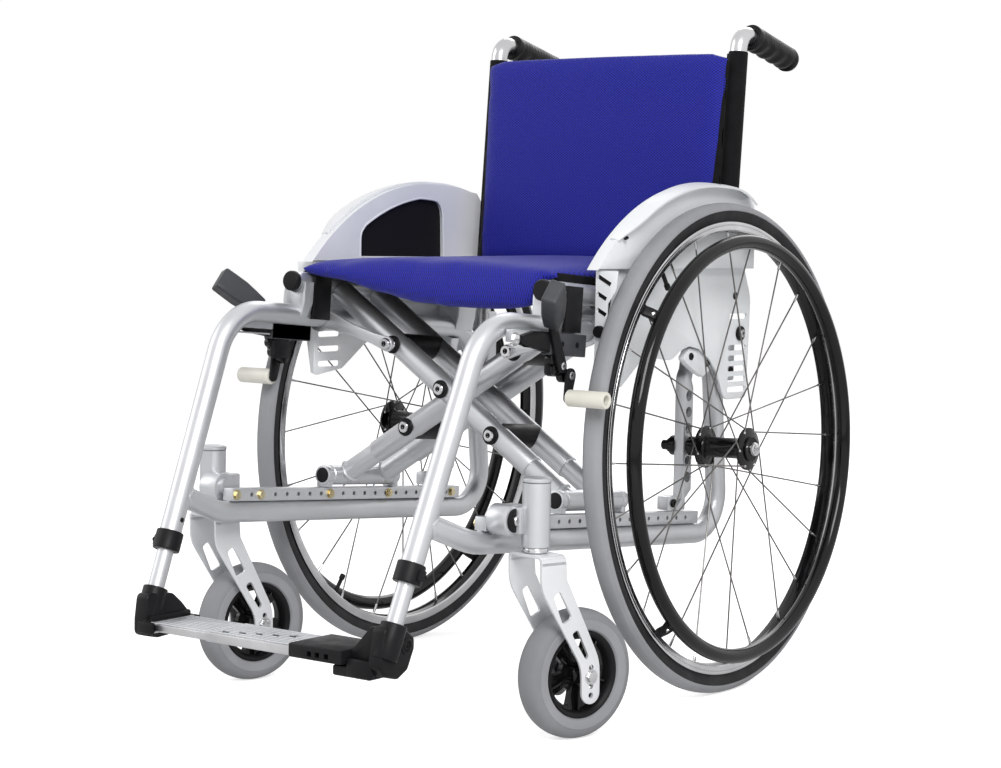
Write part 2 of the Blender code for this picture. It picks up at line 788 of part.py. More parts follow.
def caster_fork(side):
    """The folded fork with its stem and the bolt that is the caster's axle."""
    frame = caster_frame(side)
    cheek_plane = Matrix(((0, 0, 1), (1, 0, 0), (0, 1, 0))).to_4x4()
    middle = FORK_HALF_WIDTH - FORK_PLATE / 2
    cheeks = [slab(fork_outline(), FORK_PLATE, frame @ Matrix.Translation((x, 0, 0)) @ cheek_plane)
              for x in (-middle, middle)]
    inner = FORK_HALF_WIDTH - 0.0005
    crown = box(
        (-inner, -0.0140, FORK_TOP_Z - FORK_CROWN),
        (inner, 0.0195, FORK_TOP_Z - 0.00005),
        frame,
    )
    low, high = (0, 0, FORK_TOP_Z - 0.002), (0, 0, HOUSING_TOP_Z - 0.006)
    stem = rod(frame @ Vector(low), frame @ Vector(high), STEM_RADIUS)
    axle_z = CASTER_RADIUS
    ends = [frame @ Vector((x, CASTER_TRAIL, axle_z)) for x in (-0.031, 0.031)]
    heads = [frame @ Vector((x, CASTER_TRAIL, axle_z)) for x in (-0.0335, 0.0335)]
    axle = joined([rod(ends[0], ends[1], 0.0035, 12), rod(heads[0], ends[0], 0.0065, 6)])
    axle = joined([axle, rod(ends[1], heads[1], 0.0065, 6)])
    body = joined([crown, cheeks[0], cheeks[1], stem, axle])
    window = [(0.0030, 0.164), (0.0113, 0.170), (0.0300, 0.139), (0.0165, 0.1325)]
    slot = [(0.0293, 0.1215), (0.0376, 0.126), (0.0540, 0.095), (0.0500, 0.091)]
    cutters = [slab(hole, 0.08, frame @ cheek_plane) for hole in (window, slot)]
    for z in (0.0822, 0.0617, 0.0515):
        hole = [frame @ Vector((x, CASTER_TRAIL, z)) for x in (-0.04, 0.04)]
        cutters.append(rod(hole[0], hole[1], 0.0030, 6))
    name = SIDES[side] + "_caster_fork"
    return finish(name, cut(body, cutters), "silver paint", frame.translation)


def caster_housing(side):
    """The stem's bearing housing, and the barrel that clamps it to the side frame."""
    x = side * CASTER_X
    stem_axis = aligned((x, CASTER_Y, 0.0), (0, 0, 1), (0, 1, 0))
    bore = STEM_RADIUS + CLEAR
    ring_z = FORK_TOP_Z + CLEAR
    profile = [
        (bore, ring_z),
        (0.0125, ring_z),
        (0.0125, HOUSING_BOTTOM_Z),
        (HOUSING_RADIUS, HOUSING_BOTTOM_Z),
        (HOUSING_RADIUS, HOUSING_TOP_Z),
        (HOUSING_RADIUS + 0.0008, HOUSING_TOP_Z),
        (HOUSING_RADIUS + 0.0008, HOUSING_TOP_Z + 0.003),
        (HOUSING_RADIUS - 0.002, HOUSING_TOP_Z + 0.0045),
        (0.0, HOUSING_TOP_Z + 0.0045),
        (0.0, HOUSING_TOP_Z - 0.005),
        (bore, HOUSING_TOP_Z - 0.005),
    ]
    column = turned(profile, stem_axis, 12)
    tube_face = SIDE_X + TUBE_RADIUS + CLEAR
    barrel = side_rod(side * tube_face, side * BARREL_END_X, BARREL_Y, BARREL_Z, BARREL_RADIUS, 14)
    washer = side_rod(
        side * (BARREL_END_X - 0.002), side * (BARREL_END_X + 0.003), BARREL_Y, BARREL_Z, 0.0130
    )
    boss = side_rod(
        side * (SIDE_X + RAIL_WIDTH / 2 + CLEAR), side * (tube_face + 0.002), BARREL_Y, BARREL_Z + 0.002, 0.0105
    )
    web_x = sorted((side * (tube_face + 0.0004), side * (CASTER_X - 0.006)))
    web = box((web_x[0], BARREL_Y, 0.2290), (web_x[1], CASTER_Y + 0.007, 0.2590))
    body = joined([column, web, barrel, boss, washer])
    return finish(SIDES[side] + "_caster_housing", body, "silver paint")


def foot_tube(side):
    low = leg_point(side, LEG_FOOT_Z - FOOT_TUBE_DEPTH)
    body = rod(low, leg_point(side, FOOT_TUBE_TOP_Z), FOOT_TUBE_RADIUS)
    return finish(SIDES[side] + "_leg_tube", body, "bare steel")


def height_clamp(side):
    """The collar round the end of the leg, with its screw lug in front."""
    end = leg_point(side, LEG_TUBE_END_Z)
    frame = aligned(end, leg_point(side, LEG_WELD_Z) - end, (1, 0, 0))
    profile = [
        (snug(FOOT_TUBE_RADIUS, 16), -0.0060),
        (0.0156, -0.0060),
        (0.0156, 0.0160),
        (snug(TUBE_RADIUS, 16), 0.0160),
        (snug(TUBE_RADIUS, 16), -CLEAR),
        (snug(FOOT_TUBE_RADIUS, 16), -CLEAR),
    ]
    ring = turned(profile, frame)
    lug = box((-0.0060, -0.0225, -0.0030), (0.0060, -0.0144, 0.0130), frame)
    if (frame @ Vector((0, -1, 0)) - end).y > 0:
        lug.data.transform(frame @ Matrix.Rotation(math.pi, 4, "Z") @ frame.inverted())
    return finish(SIDES[side] + "_height_clamp", joined([ring, lug]), "black plastic")


def foot_casting(side):
    """The black casting at the foot of the leg. The right one carries the board's hinge."""
    heel = [(0.0219, 0.1300), (0.0394, 0.1000), (0.0394, 0.0810)]
    if side < 0:
        heel = [(0.0309, 0.1350), (0.0469, 0.1089), (0.0569, 0.0975), (0.0489, 0.0771)]
    front = [(0.0047, 0.0850), (-0.0351, 0.0970), (-0.0333, 0.1341)]
    outline = [(-0.0304, 0.1451), (-0.0007, 0.1438)] + heel + front
    outline = [(LEG_FOOT_Y + ahead, z) for ahead, z in outline]
    width = CASTING_OUT_X - CASTING_IN_X
    body = slab(outline, width, across(side * (CASTING_OUT_X + CASTING_IN_X) / 2))
    bottom = BOARD_TOP_Z - BOARD_THICKNESS - CLEAR
    if side > 0:
        front, rear = BOARD_FRONT_Y + 0.0055, BOARD_REAR_Y - 0.0030
        ledge = box((0.1120, front, 0.0860), (CASTING_IN_X + 0.004, rear, bottom))
        body = joined([body, ledge])
    else:
        middle_z = BOARD_TOP_Z - BOARD_THICKNESS / 2
        for y in (BOARD_FRONT_Y - 0.0035, BOARD_REAR_Y + 0.0035):
            cheek = box(
                (-CASTING_IN_X - 0.004, y - 0.003, middle_z - HINGE_RADIUS),
                (BOARD_HINGE_X + 0.0055, y + 0.003, middle_z + HINGE_RADIUS),
            )
            body = joined([body, cheek])
        pin = rod(
            (BOARD_HINGE_X, BOARD_FRONT_Y - 0.0040, middle_z),
            (BOARD_HINGE_X, BOARD_REAR_Y + 0.0040, middle_z),
            HINGE_PIN,
            10,
        )
        body = joined([body, pin])
    low = leg_point(side, LEG_FOOT_Z - FOOT_TUBE_DEPTH - CLEAR)
    socket = rod(low, leg_point(side, 0.16), snug(FOOT_TUBE_RADIUS))
    return finish(SIDES[side] + "_foot_casting", cut(body, [socket]), "black plastic")


def footboard():
    """The board, hinged at the right casting and resting on the ledge of the left one."""
    top, bottom = BOARD_TOP_Z, BOARD_TOP_Z - BOARD_THICKNESS
    middle_z = (top + bottom) / 2
    front, rear = BOARD_FRONT_Y + 0.0004, BOARD_REAR_Y - 0.0004
    plate = box((BOARD_HINGE_X + 0.004, front, bottom + 0.001), (BOARD_END_X - 0.03, rear, top))
    barrel = rod((BOARD_HINGE_X, front, middle_z), (BOARD_HINGE_X, rear, middle_z), HINGE_RADIUS)
    block = box((BOARD_END_X - 0.034, front - 0.004, bottom), (BOARD_END_X, rear + 0.003, top + 0.003))
    body = joined([plate, barrel, block])
    bore = ((BOARD_HINGE_X, front - 0.02, middle_z), (BOARD_HINGE_X, rear + 0.02, middle_z))
    cutters = [rod(*bore, snug(HINGE_PIN, 10), 10)]
    slot_front = (front + rear - BOARD_SLOT) / 2
    for i in range(5):
        x = -0.115 + 0.040 * i
        cutters.append(box((x, slot_front, bottom - 0.01), (x + 0.018, slot_front + BOARD_SLOT, top + 0.01)))
    return finish("footboard", cut(body, cutters), "aluminium", (BOARD_HINGE_X, 0.0, middle_z))


def arm_axis(side):
    """The unit vector up one arm, in the plane square to the rails, as (x, b)."""
    run = Vector((-side * (BRACE_PIVOT_X + SEAT_RAIL_X), SEAT_RAIL_B - BRACE_PIVOT_B))
    return run.normalized()


def arm_point(side, reach, a):
    """A point along an arm, measured from the brace's centre."""
    up = arm_axis(side)
    return rail_point(up.x * reach, a, BRACE_B + up.y * reach)


def cross_arm(side):
    """One leaf of the scissor: two tubes on a pivot tube, with spacers and bolt heads."""
    front_a, rear_a = ARM_TUBES[side]
    up = arm_axis(side)
    low_reach = -(BRACE_PIVOT_X / abs(up.x))
    top_reach = SEAT_RAIL_X / abs(up.x) - SEAT_RAIL_RADIUS - CLEAR
    step_reach = -ARM_STEP_X / abs(up.x)
    pivot_x = side * BRACE_PIVOT_X
    pivot_a = PIVOT_TUBES[side]
    body = rail_rod(pivot_x, pivot_a[0], pivot_a[1], BRACE_PIVOT_B, PIVOT_TUBE_RADIUS, 12)
    for a in (front_a, rear_a):
        lower = rod(arm_point(side, low_reach, a), arm_point(side, step_reach + 0.004, a), ARM_INNER_RADIUS, 10)
        upper = rod(arm_point(side, step_reach, a), arm_point(side, top_reach, a), ARM_RADIUS, 10)
        body = joined([body, lower, upper])
    for reach in (-ARM_BOLT_REACH, ARM_BOLT_REACH):
        spacer = rod(arm_point(side, reach, front_a), arm_point(side, reach, rear_a), SPACER_RADIUS, 10)
        face = front_a - ARM_RADIUS
        washer = rod(arm_point(side, reach, face + 0.003), arm_point(side, reach, face - 0.002), BOLT_WASHER, 10)
        head = rod(arm_point(side, reach, face), arm_point(side, reach, face - 0.007), BOLT_HEAD, 6)
        body = joined([body, spacer, washer, head])
    bores = [
        rail_rod(pivot_x, pivot_a[0] - 0.01, pivot_a[1] + 0.01, BRACE_PIVOT_B, snug(PIVOT_PIN_RADIUS, 10), 10),
        rail_rod(0.0, front_a - 0.03, rear_a + 0.03, BRACE_B, snug(CENTRE_BOLT_RADIUS, 8), 8),
    ]
    pivot = rail_point(pivot_x, 0.0, BRACE_PIVOT_B)
    name = SIDES[side] + "_cross_arm"
    return finish(name, cut(body, bores), "silver paint", pivot)


def centre_bolt():
    """The bolt that the two leaves turn on."""
    front_a = ARM_TUBES[1][0] - ARM_RADIUS
    rear_a = ARM_TUBES[-1][1] + ARM_RADIUS
    shank = rail_rod(0.0, front_a - 0.003, rear_a + 0.003, BRACE_B, CENTRE_BOLT_RADIUS, 8)
    washer = rail_rod(0.0, front_a - CLEAR - 0.002, front_a - CLEAR, BRACE_B, BOLT_WASHER)
    head = rail_rod(0.0, front_a - 0.007, front_a - CLEAR - 0.001, BRACE_B, BOLT_HEAD, 8)
    nut = rail_rod(0.0, rear_a + CLEAR, rear_a + 0.006, BRACE_B, BOLT_HEAD, 6)
    body = joined([shank, washer, head, nut])
    return finish("centre_bolt", body, "bare steel", rail_point(0.0, 0.0, BRACE_B))


def pivot_pin(side):
    """The rod that a leaf turns on, held on the hole rail by a foot at each end."""
    start, end = PIVOT_TUBES[side]
    x = side * BRACE_PIVOT_X
    body = rail_rod(x, start - 0.004, end + 0.004, BRACE_PIVOT_B, PIVOT_PIN_RADIUS, 10)
    rail_top = LOWER_B + TUBE_RADIUS + 2 * CLEAR + RAIL_HEIGHT
    frame = along_rail(0.0)
    for inner, outer in ((start - CLEAR, start - 0.0115), (end + CLEAR, end + 0.0115)):
        cap = rail_rod(x, inner, outer, BRACE_PIVOT_B, PIVOT_TUBE_RADIUS, 16)
        low_a, high_a = sorted((-inner, -outer))
        foot = box((x - 0.0095, rail_top, low_a), (x + 0.0095, BRACE_PIVOT_B, high_a), frame)
        body = joined([body, cap, foot])
    return finish(SIDES[side] + "_pivot_pin", body, "black plastic")


def seat_rail(side):
    """The tube that carries the seat, with a cap at each end. It is welded to the other side's leaf."""
    x = side * SEAT_RAIL_X
    body = rail_rod(x, SEAT_RAIL_FRONT_A, SEAT_RAIL_REAR_A, SEAT_RAIL_B, SEAT_RAIL_RADIUS, 12)
    cap = rail_rod(x, SEAT_RAIL_FRONT_A - 0.006, SEAT_RAIL_FRONT_A + 0.002, SEAT_RAIL_B, SEAT_RAIL_RADIUS - 0.0006, 12)
    return finish(SIDES[side] + "_seat_rail", joined([body, cap]), "silver paint")


def link(side):
    """The flat bar that turns round the top tube and guides the leaf of the other side."""
    face = ARM_TUBES[-side][0] - ARM_RADIUS - 0.0075
    mid_a = face - CLEAR - LINK_THICKNESS / 2
    x = side * SIDE_X
    end = arm_axis(-side) * ARM_BOLT_REACH + Vector((0.0, BRACE_B))
    start = Vector((x, TOP_B))
    run = (end - start).normalized()
    turn = math.degrees(math.atan2(run.y, run.x))
    eye = TUBE_RADIUS + 0.0055
    outline = arc(start, eye, turn + 35, turn + 325, 12)
    outline += arc(end, LINK_WIDTH / 2, turn - 90, turn + 90, 6)
    body = slab(outline, LINK_THICKNESS, along_rail(mid_a))
    bore = rail_rod(x, mid_a - 0.01, mid_a + 0.01, TOP_B, snug(TUBE_RADIUS))
    pivot = rail_point(x, 0.0, TOP_B)
    return finish(SIDES[side] + "_link", cut(body, [bore]), "silver paint", pivot)


def back_post(side):
    """The back tube, bent over into a push handle, on the block that bolts it to the upright."""
    base = post_point(side, POST_BASE_Z)
    corner = post_point(side, HANDLE_Z)
    reach = GRIP_START + GRIP_LENGTH - 0.004
    end = corner + Vector((0.0, math.cos(HANDLE_DROOP), -math.sin(HANDLE_DROOP))) * reach
    post = tube(bent_path([base, corner, end], [HANDLE_BEND]), POST_RADIUS)
    block_x = sorted((side * (SIDE_X - 0.012), side * (SIDE_X + 0.012)))
    block = box((block_x[0], 0.0760, 0.3720), (block_x[1], 0.0960, POST_BASE_Z + 0.030))
    body = joined([post, block])
    return finish(SIDES[side] + "_back_post", body, "bare steel")


def push_grip(side):
    corner = post_point(side, HANDLE_Z)
    direction = Vector((0.0, math.cos(HANDLE_DROOP), -math.sin(HANDLE_DROOP)))
    frame = aligned(corner + direction * GRIP_START, direction, (1, 0, 0))
    bore = POST_RADIUS + CLEAR
    profile = [
        (bore, 0.0),
        (GRIP_RADIUS + 0.0005, 0.0),
        (GRIP_RADIUS + 0.0005, 0.006),
        (GRIP_RADIUS - 0.0015, 0.009),
    ]
    profile += [
        (GRIP_RADIUS + 0.0010, GRIP_LENGTH - 0.006),
        (GRIP_RADIUS - 0.004, GRIP_LENGTH),
        (0.0, GRIP_LENGTH),
        (0.0, GRIP_LENGTH - 0.0035),
        (bore, GRIP_LENGTH - 0.0035),
    ]
    body = turned(profile, frame, 14)
    return finish(SIDES[side] + "_push_grip", body, "black plastic")


def pad(size, cuts, move):
    """A block with rounded, drawn-in edges: a coarse cage under a subdivision surface."""
    work = bmesh.new()
    bmesh.ops.create_cube(work, size=2.0)
    bmesh.ops.subdivide_edges(work, edges=work.edges, cuts=cuts, use_grid_fill=True)
    for vert in work.verts:
        place = vert.co.copy()
        vert.co = move(place.x, place.y, place.z)
    mesh = bpy.data.meshes.new("pad")
    work.to_mesh(mesh)
    work.free()
    obj = new_object("pad", mesh)
    surface = obj.modifiers.new("soft", "SUBSURF")
    surface.levels = size
    surface.render_levels = size
    return baked(obj)


def seat_cushion():
    """The padded seat on the rails, with a crowned top, drawn-in sides and a rolled front edge."""
    rail_top = SEAT_RAIL_B + SEAT_RAIL_RADIUS

    def upper(u, v, w):
        edge = 1.0 - max(abs(u), abs(v)) ** 4
        y = CUSHION_FRONT_Y + (CUSHION_REAR_Y - CUSHION_FRONT_Y) * (v + 1) / 2
        pull = 1.0 - 0.035 * (1 - v * v) * abs(w)
        x = u * CUSHION_HALF_WIDTH * pull
        low = HUB_Z + 0.0050 + (rail_top - y * math.sin(RAKE)) * math.cos(RAKE)
        top = CUSHION_FRONT_Z + (CUSHION_REAR_Z - CUSHION_FRONT_Z) * (v + 1) / 2
        top += CUSHION_CROWN * (1 - u * u) * (1 - v * v) + 0.004 * edge
        return Vector((x, y, low + (top - low) * (w + 1) / 2))

    def roll(u, v, w):
        y = CUSHION_FRONT_Y - 0.0060 + 0.0330 * (v + 1) / 2
        x = u * (SEAT_RAIL_X - SEAT_RAIL_RADIUS - 0.0060)
        z = CUSHION_LIP_Z + (CUSHION_FRONT_Z - 0.0020 - CUSHION_LIP_Z) * (w + 1) / 2
        return Vector((x, y, z))

    body = joined([pad(1, 3, upper), pad(1, 1, roll)])
    return finish("seat_cushion", body, "blue fabric")


def back_upholstery():
    """The padded back, sewn to a sleeve round each post."""
    middle_z = (BACK_BOTTOM_Z + BACK_TOP_Z) / 2

    def panel(u, v, w):
        z = middle_z + w * (BACK_TOP_Z - BACK_BOTTOM_Z) / 2
        sag = 0.012 * (1 - u * u)
        y = post_point(1, z).y - 0.003 + sag + v * BACK_THICKNESS / 2 * (1 - 0.25 * u ** 4)
        z += 0.006 * (1 - u * u) * w
        return Vector((u * (SIDE_X - 0.006), y, z))

    body = pad(1, 2, panel)
    for side in SIDES:
        low, high = post_point(side, BACK_BOTTOM_Z + 0.006), post_point(side, BACK_TOP_Z - 0.013)
        body = joined([body, rod(low, high, SLEEVE_RADIUS, 12)])
    bores = []
    for side in SIDES:
        low, high = post_point(side, BACK_BOTTOM_Z - 0.05), post_point(side, BACK_TOP_Z + 0.05)
        bores.append(rod(low, high, POST_RADIUS + 2 * CLEAR))
    return finish("back_upholstery", cut(body, bores), "blue fabric")


def fender_arc(start_y, end_y, inset, steps=8):
    """Points along the fender's edge, whose radius about the hub grows towards the front."""
    points = []
    for i in range(steps + 1):
        y = start_y + (end_y - start_y) * i / steps
        share = min(1.0, max(0.0, -y / 0.275))
        radius = TYRE_RADIUS + FENDER_GAP + FENDER_FLARE * share - inset
        points.append((y, wheel_height() + math.sqrt(radius * radius - y * y)))
    return points


def fender(side):
    """The upper guard: a thick shell with an arched recess inside, and a lip over the tyre."""
    outline = fender_arc(-0.2560, 0.0830, 0.0)
    outline += [(0.0980, 0.5900), (0.0990, FENDER_BASE_Z), (-0.2480, FENDER_BASE_Z)]
    shell_out = GUARD_X + 0.0095
    shell = slab(outline, shell_out - FENDER_IN_X, across(side * (shell_out + FENDER_IN_X) / 2))
    band = fender_arc(-0.2700, 0.0810, -0.0006) + fender_arc(0.0810, -0.2700, FENDER_LIP)
    lip_in = shell_out - 0.002
    lip = slab(band, FENDER_LIP_X - lip_in, across(side * (FENDER_LIP_X + lip_in) / 2))
    body = joined([shell, lip])
    recess = [(-0.1547, 0.5220), (-0.0021, 0.5220)]
    recess += [(-0.0021, 0.5660)] + arc((-0.0300, 0.5640), 0.0272, 10, 90, 4)
    recess += [(-0.0900, 0.5880), (-0.1350, 0.5620)]
    cutter = slab(recess, 2 * FENDER_RECESS, across(side * FENDER_IN_X))
    return finish(SIDES[side] + "_fender", cut(body, [cutter]), "pale guard")


def guard_panel(side):
    """The flat panel under the fender, with its slots and ladder strip."""
    top = FENDER_BASE_Z - CLEAR
    outline = [
        (-0.2354, top),
        (-0.2400, 0.3720),
        (-0.1847, 0.3789),
        (-0.1352, 0.4108),
        (0.0300, 0.4085),
        (0.0490, 0.3505),
        (0.1020, 0.3505),
        (0.1070, 0.4770),
        (0.0900, top),
    ]
    body = slab(outline, GUARD_THICKNESS, across(side * GUARD_X))
    tube_face = SIDE_X + TUBE_RADIUS + CLEAR
    wall = side * (GUARD_X - GUARD_THICKNESS / 2)
    post_knob = side_rod(side * (SIDE_X + 0.012 + CLEAR), wall + side * 0.001, 0.0860, 0.4322, 0.0070)
    front_y = -0.1850
    tube_z = rail_point(0, front_y, TOP_B).z
    front_knob = side_rod(side * tube_face, wall + side * 0.001, front_y, tube_z, 0.0060)
    body = joined([body, post_knob, front_knob])
    cutters = []
    for i in range(3):
        z = 0.3850 + 0.0150 * i
        cutters.append(box((side * GUARD_X - 0.01, -0.2280, z), (side * GUARD_X + 0.01, -0.1900, z + 0.005)))
    for i in range(8):
        z = 0.3590 + 0.0130 * i
        if not 0.421 < z + 0.003 < 0.444:
            cutters.append(box((side * GUARD_X - 0.01, 0.0600, z), (side * GUARD_X + 0.01, 0.0900, z + 0.006)))
    return finish(SIDES[side] + "_guard_panel", cut(body, cutters), "pale guard")


def brake_mount(side):
    """The rail beside the top tube with the brake's clamp block and bracket plate."""
    x_in = SIDE_X + TUBE_RADIUS + CLEAR
    frame = along_rail(0.0)

    def block(x_out, a_front, a_rear, b_low, b_high):
        low_x, high_x = sorted((side * x_in, side * x_out))
        return box((low_x, b_low, -a_rear), (high_x, b_high, -a_front), frame)

    rail = block(0.2080, -0.4050, -0.2830, 0.1085, 0.1225)
    clamp = block(0.2120, -0.3610, -0.3050, 0.1045, 0.1235)
    plate = block(0.2095, -0.3300, -0.2700, 0.0960, 0.1215)
    knuckle = block(0.2110, -0.3300, -0.2950, 0.0700, 0.1000)
    bolt_y = rail_point(0, -0.3850, 0.115)
    bolt = side_rod(side * x_in, side * 0.2140, bolt_y.y, bolt_y.z, 0.0080)
    body = joined([rail, clamp, plate, knuckle, bolt])
    return finish(SIDES[side] + "_brake_mount", body, "dark grey plastic")


def lever_pivot(side):
    return rail_point(side * LEVER_IN_X, LEVER_PIVOT_A, LEVER_PIVOT_B)


def arm_pivot(side):
    return rail_point(side * LEVER_IN_X, ARM_PIVOT_A, ARM_PIVOT_B)


def brake_lever(side):
    """The lever's blade and its grip, which leans forwards and out."""
    pivot = lever_pivot(side)
    grip_foot = Vector((side * LEVER_GRIP_FOOT[0], *LEVER_GRIP_FOOT[1:]))
    grip_end = Vector((side * LEVER_GRIP_END[0], *LEVER_GRIP_END[1:]))
    lean = math.degrees(math.atan2(grip_foot.z - pivot.z, grip_foot.y - pivot.y))
    outline = arc((pivot.y, pivot.z), 0.0075, lean + 90, lean + 270, 6)
    outline += arc((grip_foot.y, grip_foot.z), 0.0060, lean - 90, lean + 90, 4)
    blade = slab(outline, LEVER_THICKNESS, across(side * (LEVER_IN_X + LEVER_THICKNESS / 2)))
    run = grip_end - grip_foot
    frame = aligned(grip_foot, run, (1, 0, 0))
    half = GRIP_THICKNESS / 2
    grip = box((-GRIP_WIDTH / 2, -half, -0.0060), (GRIP_WIDTH / 2, half, run.length), frame)
    softened = grip.modifiers.new("round", "BEVEL")
    softened.width = 0.0030
    softened.segments = 1
    body = joined([blade, baked(grip)])
    return finish(SIDES[side] + "_brake_lever", body, "dark grey plastic", pivot)


def roller_place(x):
    """The roller's middle, a little ahead of the tyre."""
    reach = TYRE_RADIUS + ROLLER_GAP + ROLLER_RADIUS
    rise = reach * math.sin(ROLLER_RISE)
    return Vector((x, -reach * math.cos(ROLLER_RISE), wheel_height() + rise))


def brake_arm(side):
    """The arm that swings the roller against the tyre."""
    pivot = arm_pivot(side)
    bolt = roller_place(pivot.x)
    x_mid = LEVER_IN_X + LEVER_THICKNESS + CLEAR + ARM_THICKNESS / 2
    down = math.degrees(math.atan2(bolt.z - pivot.z, bolt.y - pivot.y))
    outline = arc((pivot.y, pivot.z), 0.0085, down + 90, down + 270, 8)
    outline += arc((bolt.y, bolt.z), 0.0060, down - 90, down + 90, 8)
    blade = slab(outline, ARM_THICKNESS, across(side * x_mid))
    spindle = side_rod(side * (x_mid - 0.001), side * (ROLLER_OUT_X - 0.006), bolt.y, bolt.z, 0.0032, 12)
    return finish(SIDES[side] + "_brake_arm", joined([blade, spindle]), "dark grey plastic", pivot)


def brake_roller(side):
    """The hollow roller on the arm's spindle."""
    x_in = LEVER_IN_X + LEVER_THICKNESS + ARM_THICKNESS + 2 * CLEAR
    frame = aligned(roller_place(side * x_in), (side, 0, 0), (0, 1, 0))
    length = ROLLER_OUT_X - x_in
    profile = [
        (0.0032 + CLEAR, 0.0),
        (ROLLER_RADIUS, 0.0),
        (ROLLER_RADIUS, length - 0.001),
        (ROLLER_RADIUS - 0.001, length),
        (0.0055, length),
        (0.0055, length - 0.004),
        (0.0032 + CLEAR, length - 0.004),
    ]
    body = turned(profile, frame, 12)
    return finish(SIDES[side] + "_brake_roller", body, "cream plastic", arm_pivot(side))


clear_scene()
PARTS = bpy.data.collections.new("wheelchair")
CUTTERS = bpy.data.collections.new("cutters")
for collection in (PARTS, CUTTERS):
    bpy.context.scene.collection.children.link(collection)
HUB_FRAME = bpy.data.objects.new("hub_frame", None)
HUB_FRAME.location = (0.0, SHIFT_Y, 0.0)
PARTS.objects.link(HUB_FRAME)

PER_SIDE = (
    side_frame,
    seat_cradle,
    hole_rail,
    axle_plate,
    wheel_axle,
    rear_tyre,
    rear_rim,
    rear_hub,
    handrim,
    caster_housing,
    caster_fork,
    caster_tyre,
    caster_rim,
    foot_tube,
    height_clamp,
    foot_casting,
    pivot_pin,
    cross_arm,
    seat_rail,
    link,
    back_post,
    push_grip,
    fender,
    guard_panel,
    brake_mount,
    brake_lever,
    brake_arm,
    brake_roller,
)

for each_side in SIDES:
    for make_piece in PER_SIDE:
        make_piece(each_side)
centre_bolt()
seat_cushion()
back_upholstery()
footboard()
bpy.context.view_layer.update()
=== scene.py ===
"""The looks of a folding wheelchair: paint, rubber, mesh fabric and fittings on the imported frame.

Sizes are metres. Like the part's source, the pieces are drawn in the hub frame, whose y is 0
at the rear axle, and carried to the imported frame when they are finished. Rail coordinates
(a back along the raked rails, b up from them) place what lies along the side frames.
"""

import json
import math

import bmesh
import bpy
from mathutils import Matrix, Vector


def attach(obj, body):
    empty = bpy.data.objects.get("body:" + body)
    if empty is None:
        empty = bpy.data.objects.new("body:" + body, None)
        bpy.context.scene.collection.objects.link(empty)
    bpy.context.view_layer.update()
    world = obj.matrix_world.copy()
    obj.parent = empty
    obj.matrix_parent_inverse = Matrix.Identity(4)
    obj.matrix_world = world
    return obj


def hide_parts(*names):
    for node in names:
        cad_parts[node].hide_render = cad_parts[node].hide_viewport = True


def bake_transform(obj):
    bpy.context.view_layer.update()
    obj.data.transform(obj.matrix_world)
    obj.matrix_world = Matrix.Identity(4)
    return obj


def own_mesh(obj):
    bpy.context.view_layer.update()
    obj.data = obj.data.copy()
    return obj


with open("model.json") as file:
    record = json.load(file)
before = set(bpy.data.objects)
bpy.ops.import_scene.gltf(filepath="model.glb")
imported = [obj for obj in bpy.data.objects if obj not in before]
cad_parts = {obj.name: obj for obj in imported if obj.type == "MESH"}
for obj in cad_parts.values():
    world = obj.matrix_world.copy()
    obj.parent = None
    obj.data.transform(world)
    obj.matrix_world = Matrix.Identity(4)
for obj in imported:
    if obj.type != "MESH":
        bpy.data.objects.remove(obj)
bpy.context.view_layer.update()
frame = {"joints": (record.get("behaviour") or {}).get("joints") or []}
JOINTS = {joint["name"]: joint for joint in frame["joints"]}
SHIFT_Y = JOINTS["left_wheel_spin"]["pos_m"][1]
TO_PACKED = Matrix.Translation((0.0, SHIFT_Y, 0.0))
TO_HUB = TO_PACKED.inverted()
SIDES = {"right": -1, "left": 1}
OTHER = {"right": "left", "left": "right"}

RAKE = math.radians(4.22)
HUB_Z = 0.2965
SIDE_X = 0.186
TUBE = 0.0127
TOP_B = 0.1285
LOWER_B = -0.11
SEAT_RAIL_B = 0.169
SEAT_RAIL_RADIUS = 0.012
LEG_FOOT = Vector((0.1735, -0.5469, 0.1413))
LEG_RAKE = 0.4089
POST_FOOT = Vector((SIDE_X, 0.076, 0.415))
POST_LEAN = 0.0803
POST_RADIUS = 0.011
HANDLE_Z = 0.809
DROOP = math.radians(12.0)
GRIP_START = 0.026
GRIP_LENGTH = 0.106
RIM_OUTER = 0.2735
CASTER_TRAIL = 0.058
CASTER_RADIUS = 0.0719
ARM_TUBES = {"right": (-0.206, -0.133), "left": (-0.241, -0.168)}
PIVOT_TUBES = {"right": (-0.236, -0.119), "left": (-0.255, -0.142)}
BRACE_B = 0.05
PIVOT_X = 0.182
PIVOT_B = -0.0665
GAP = 0.0003
RAIL_DEPTH = 0.0155
RAIL_TOP_B = LOWER_B + TUBE + 0.0006 + RAIL_DEPTH
ARM_RADIUS = 0.014
BOLT_REACH = 0.092
WHEEL_X = 0.2436
AXLE_INNER_X = 0.156
HUB_FLANGES = (-0.0276, 0.0317)
SPOKES = 24
CASTER_SPOKES = 5
RING_TABS = 4
RAIL_HOLES = 20
AXLE_PITCH = 0.02


# Places on the chair


def rail_point(x, a, b):
    """A point given in rail coordinates."""
    y = a * math.cos(RAKE) + b * math.sin(RAKE)
    z = HUB_Z - a * math.sin(RAKE) + b * math.cos(RAKE)
    return Vector((x, y, z))


def knee_height():
    start = LEG_FOOT.y - LEG_FOOT.z * LEG_RAKE
    slope = math.tan(RAKE)
    return (HUB_Z + TOP_B / math.cos(RAKE) - start * slope) / (1 + LEG_RAKE * slope)


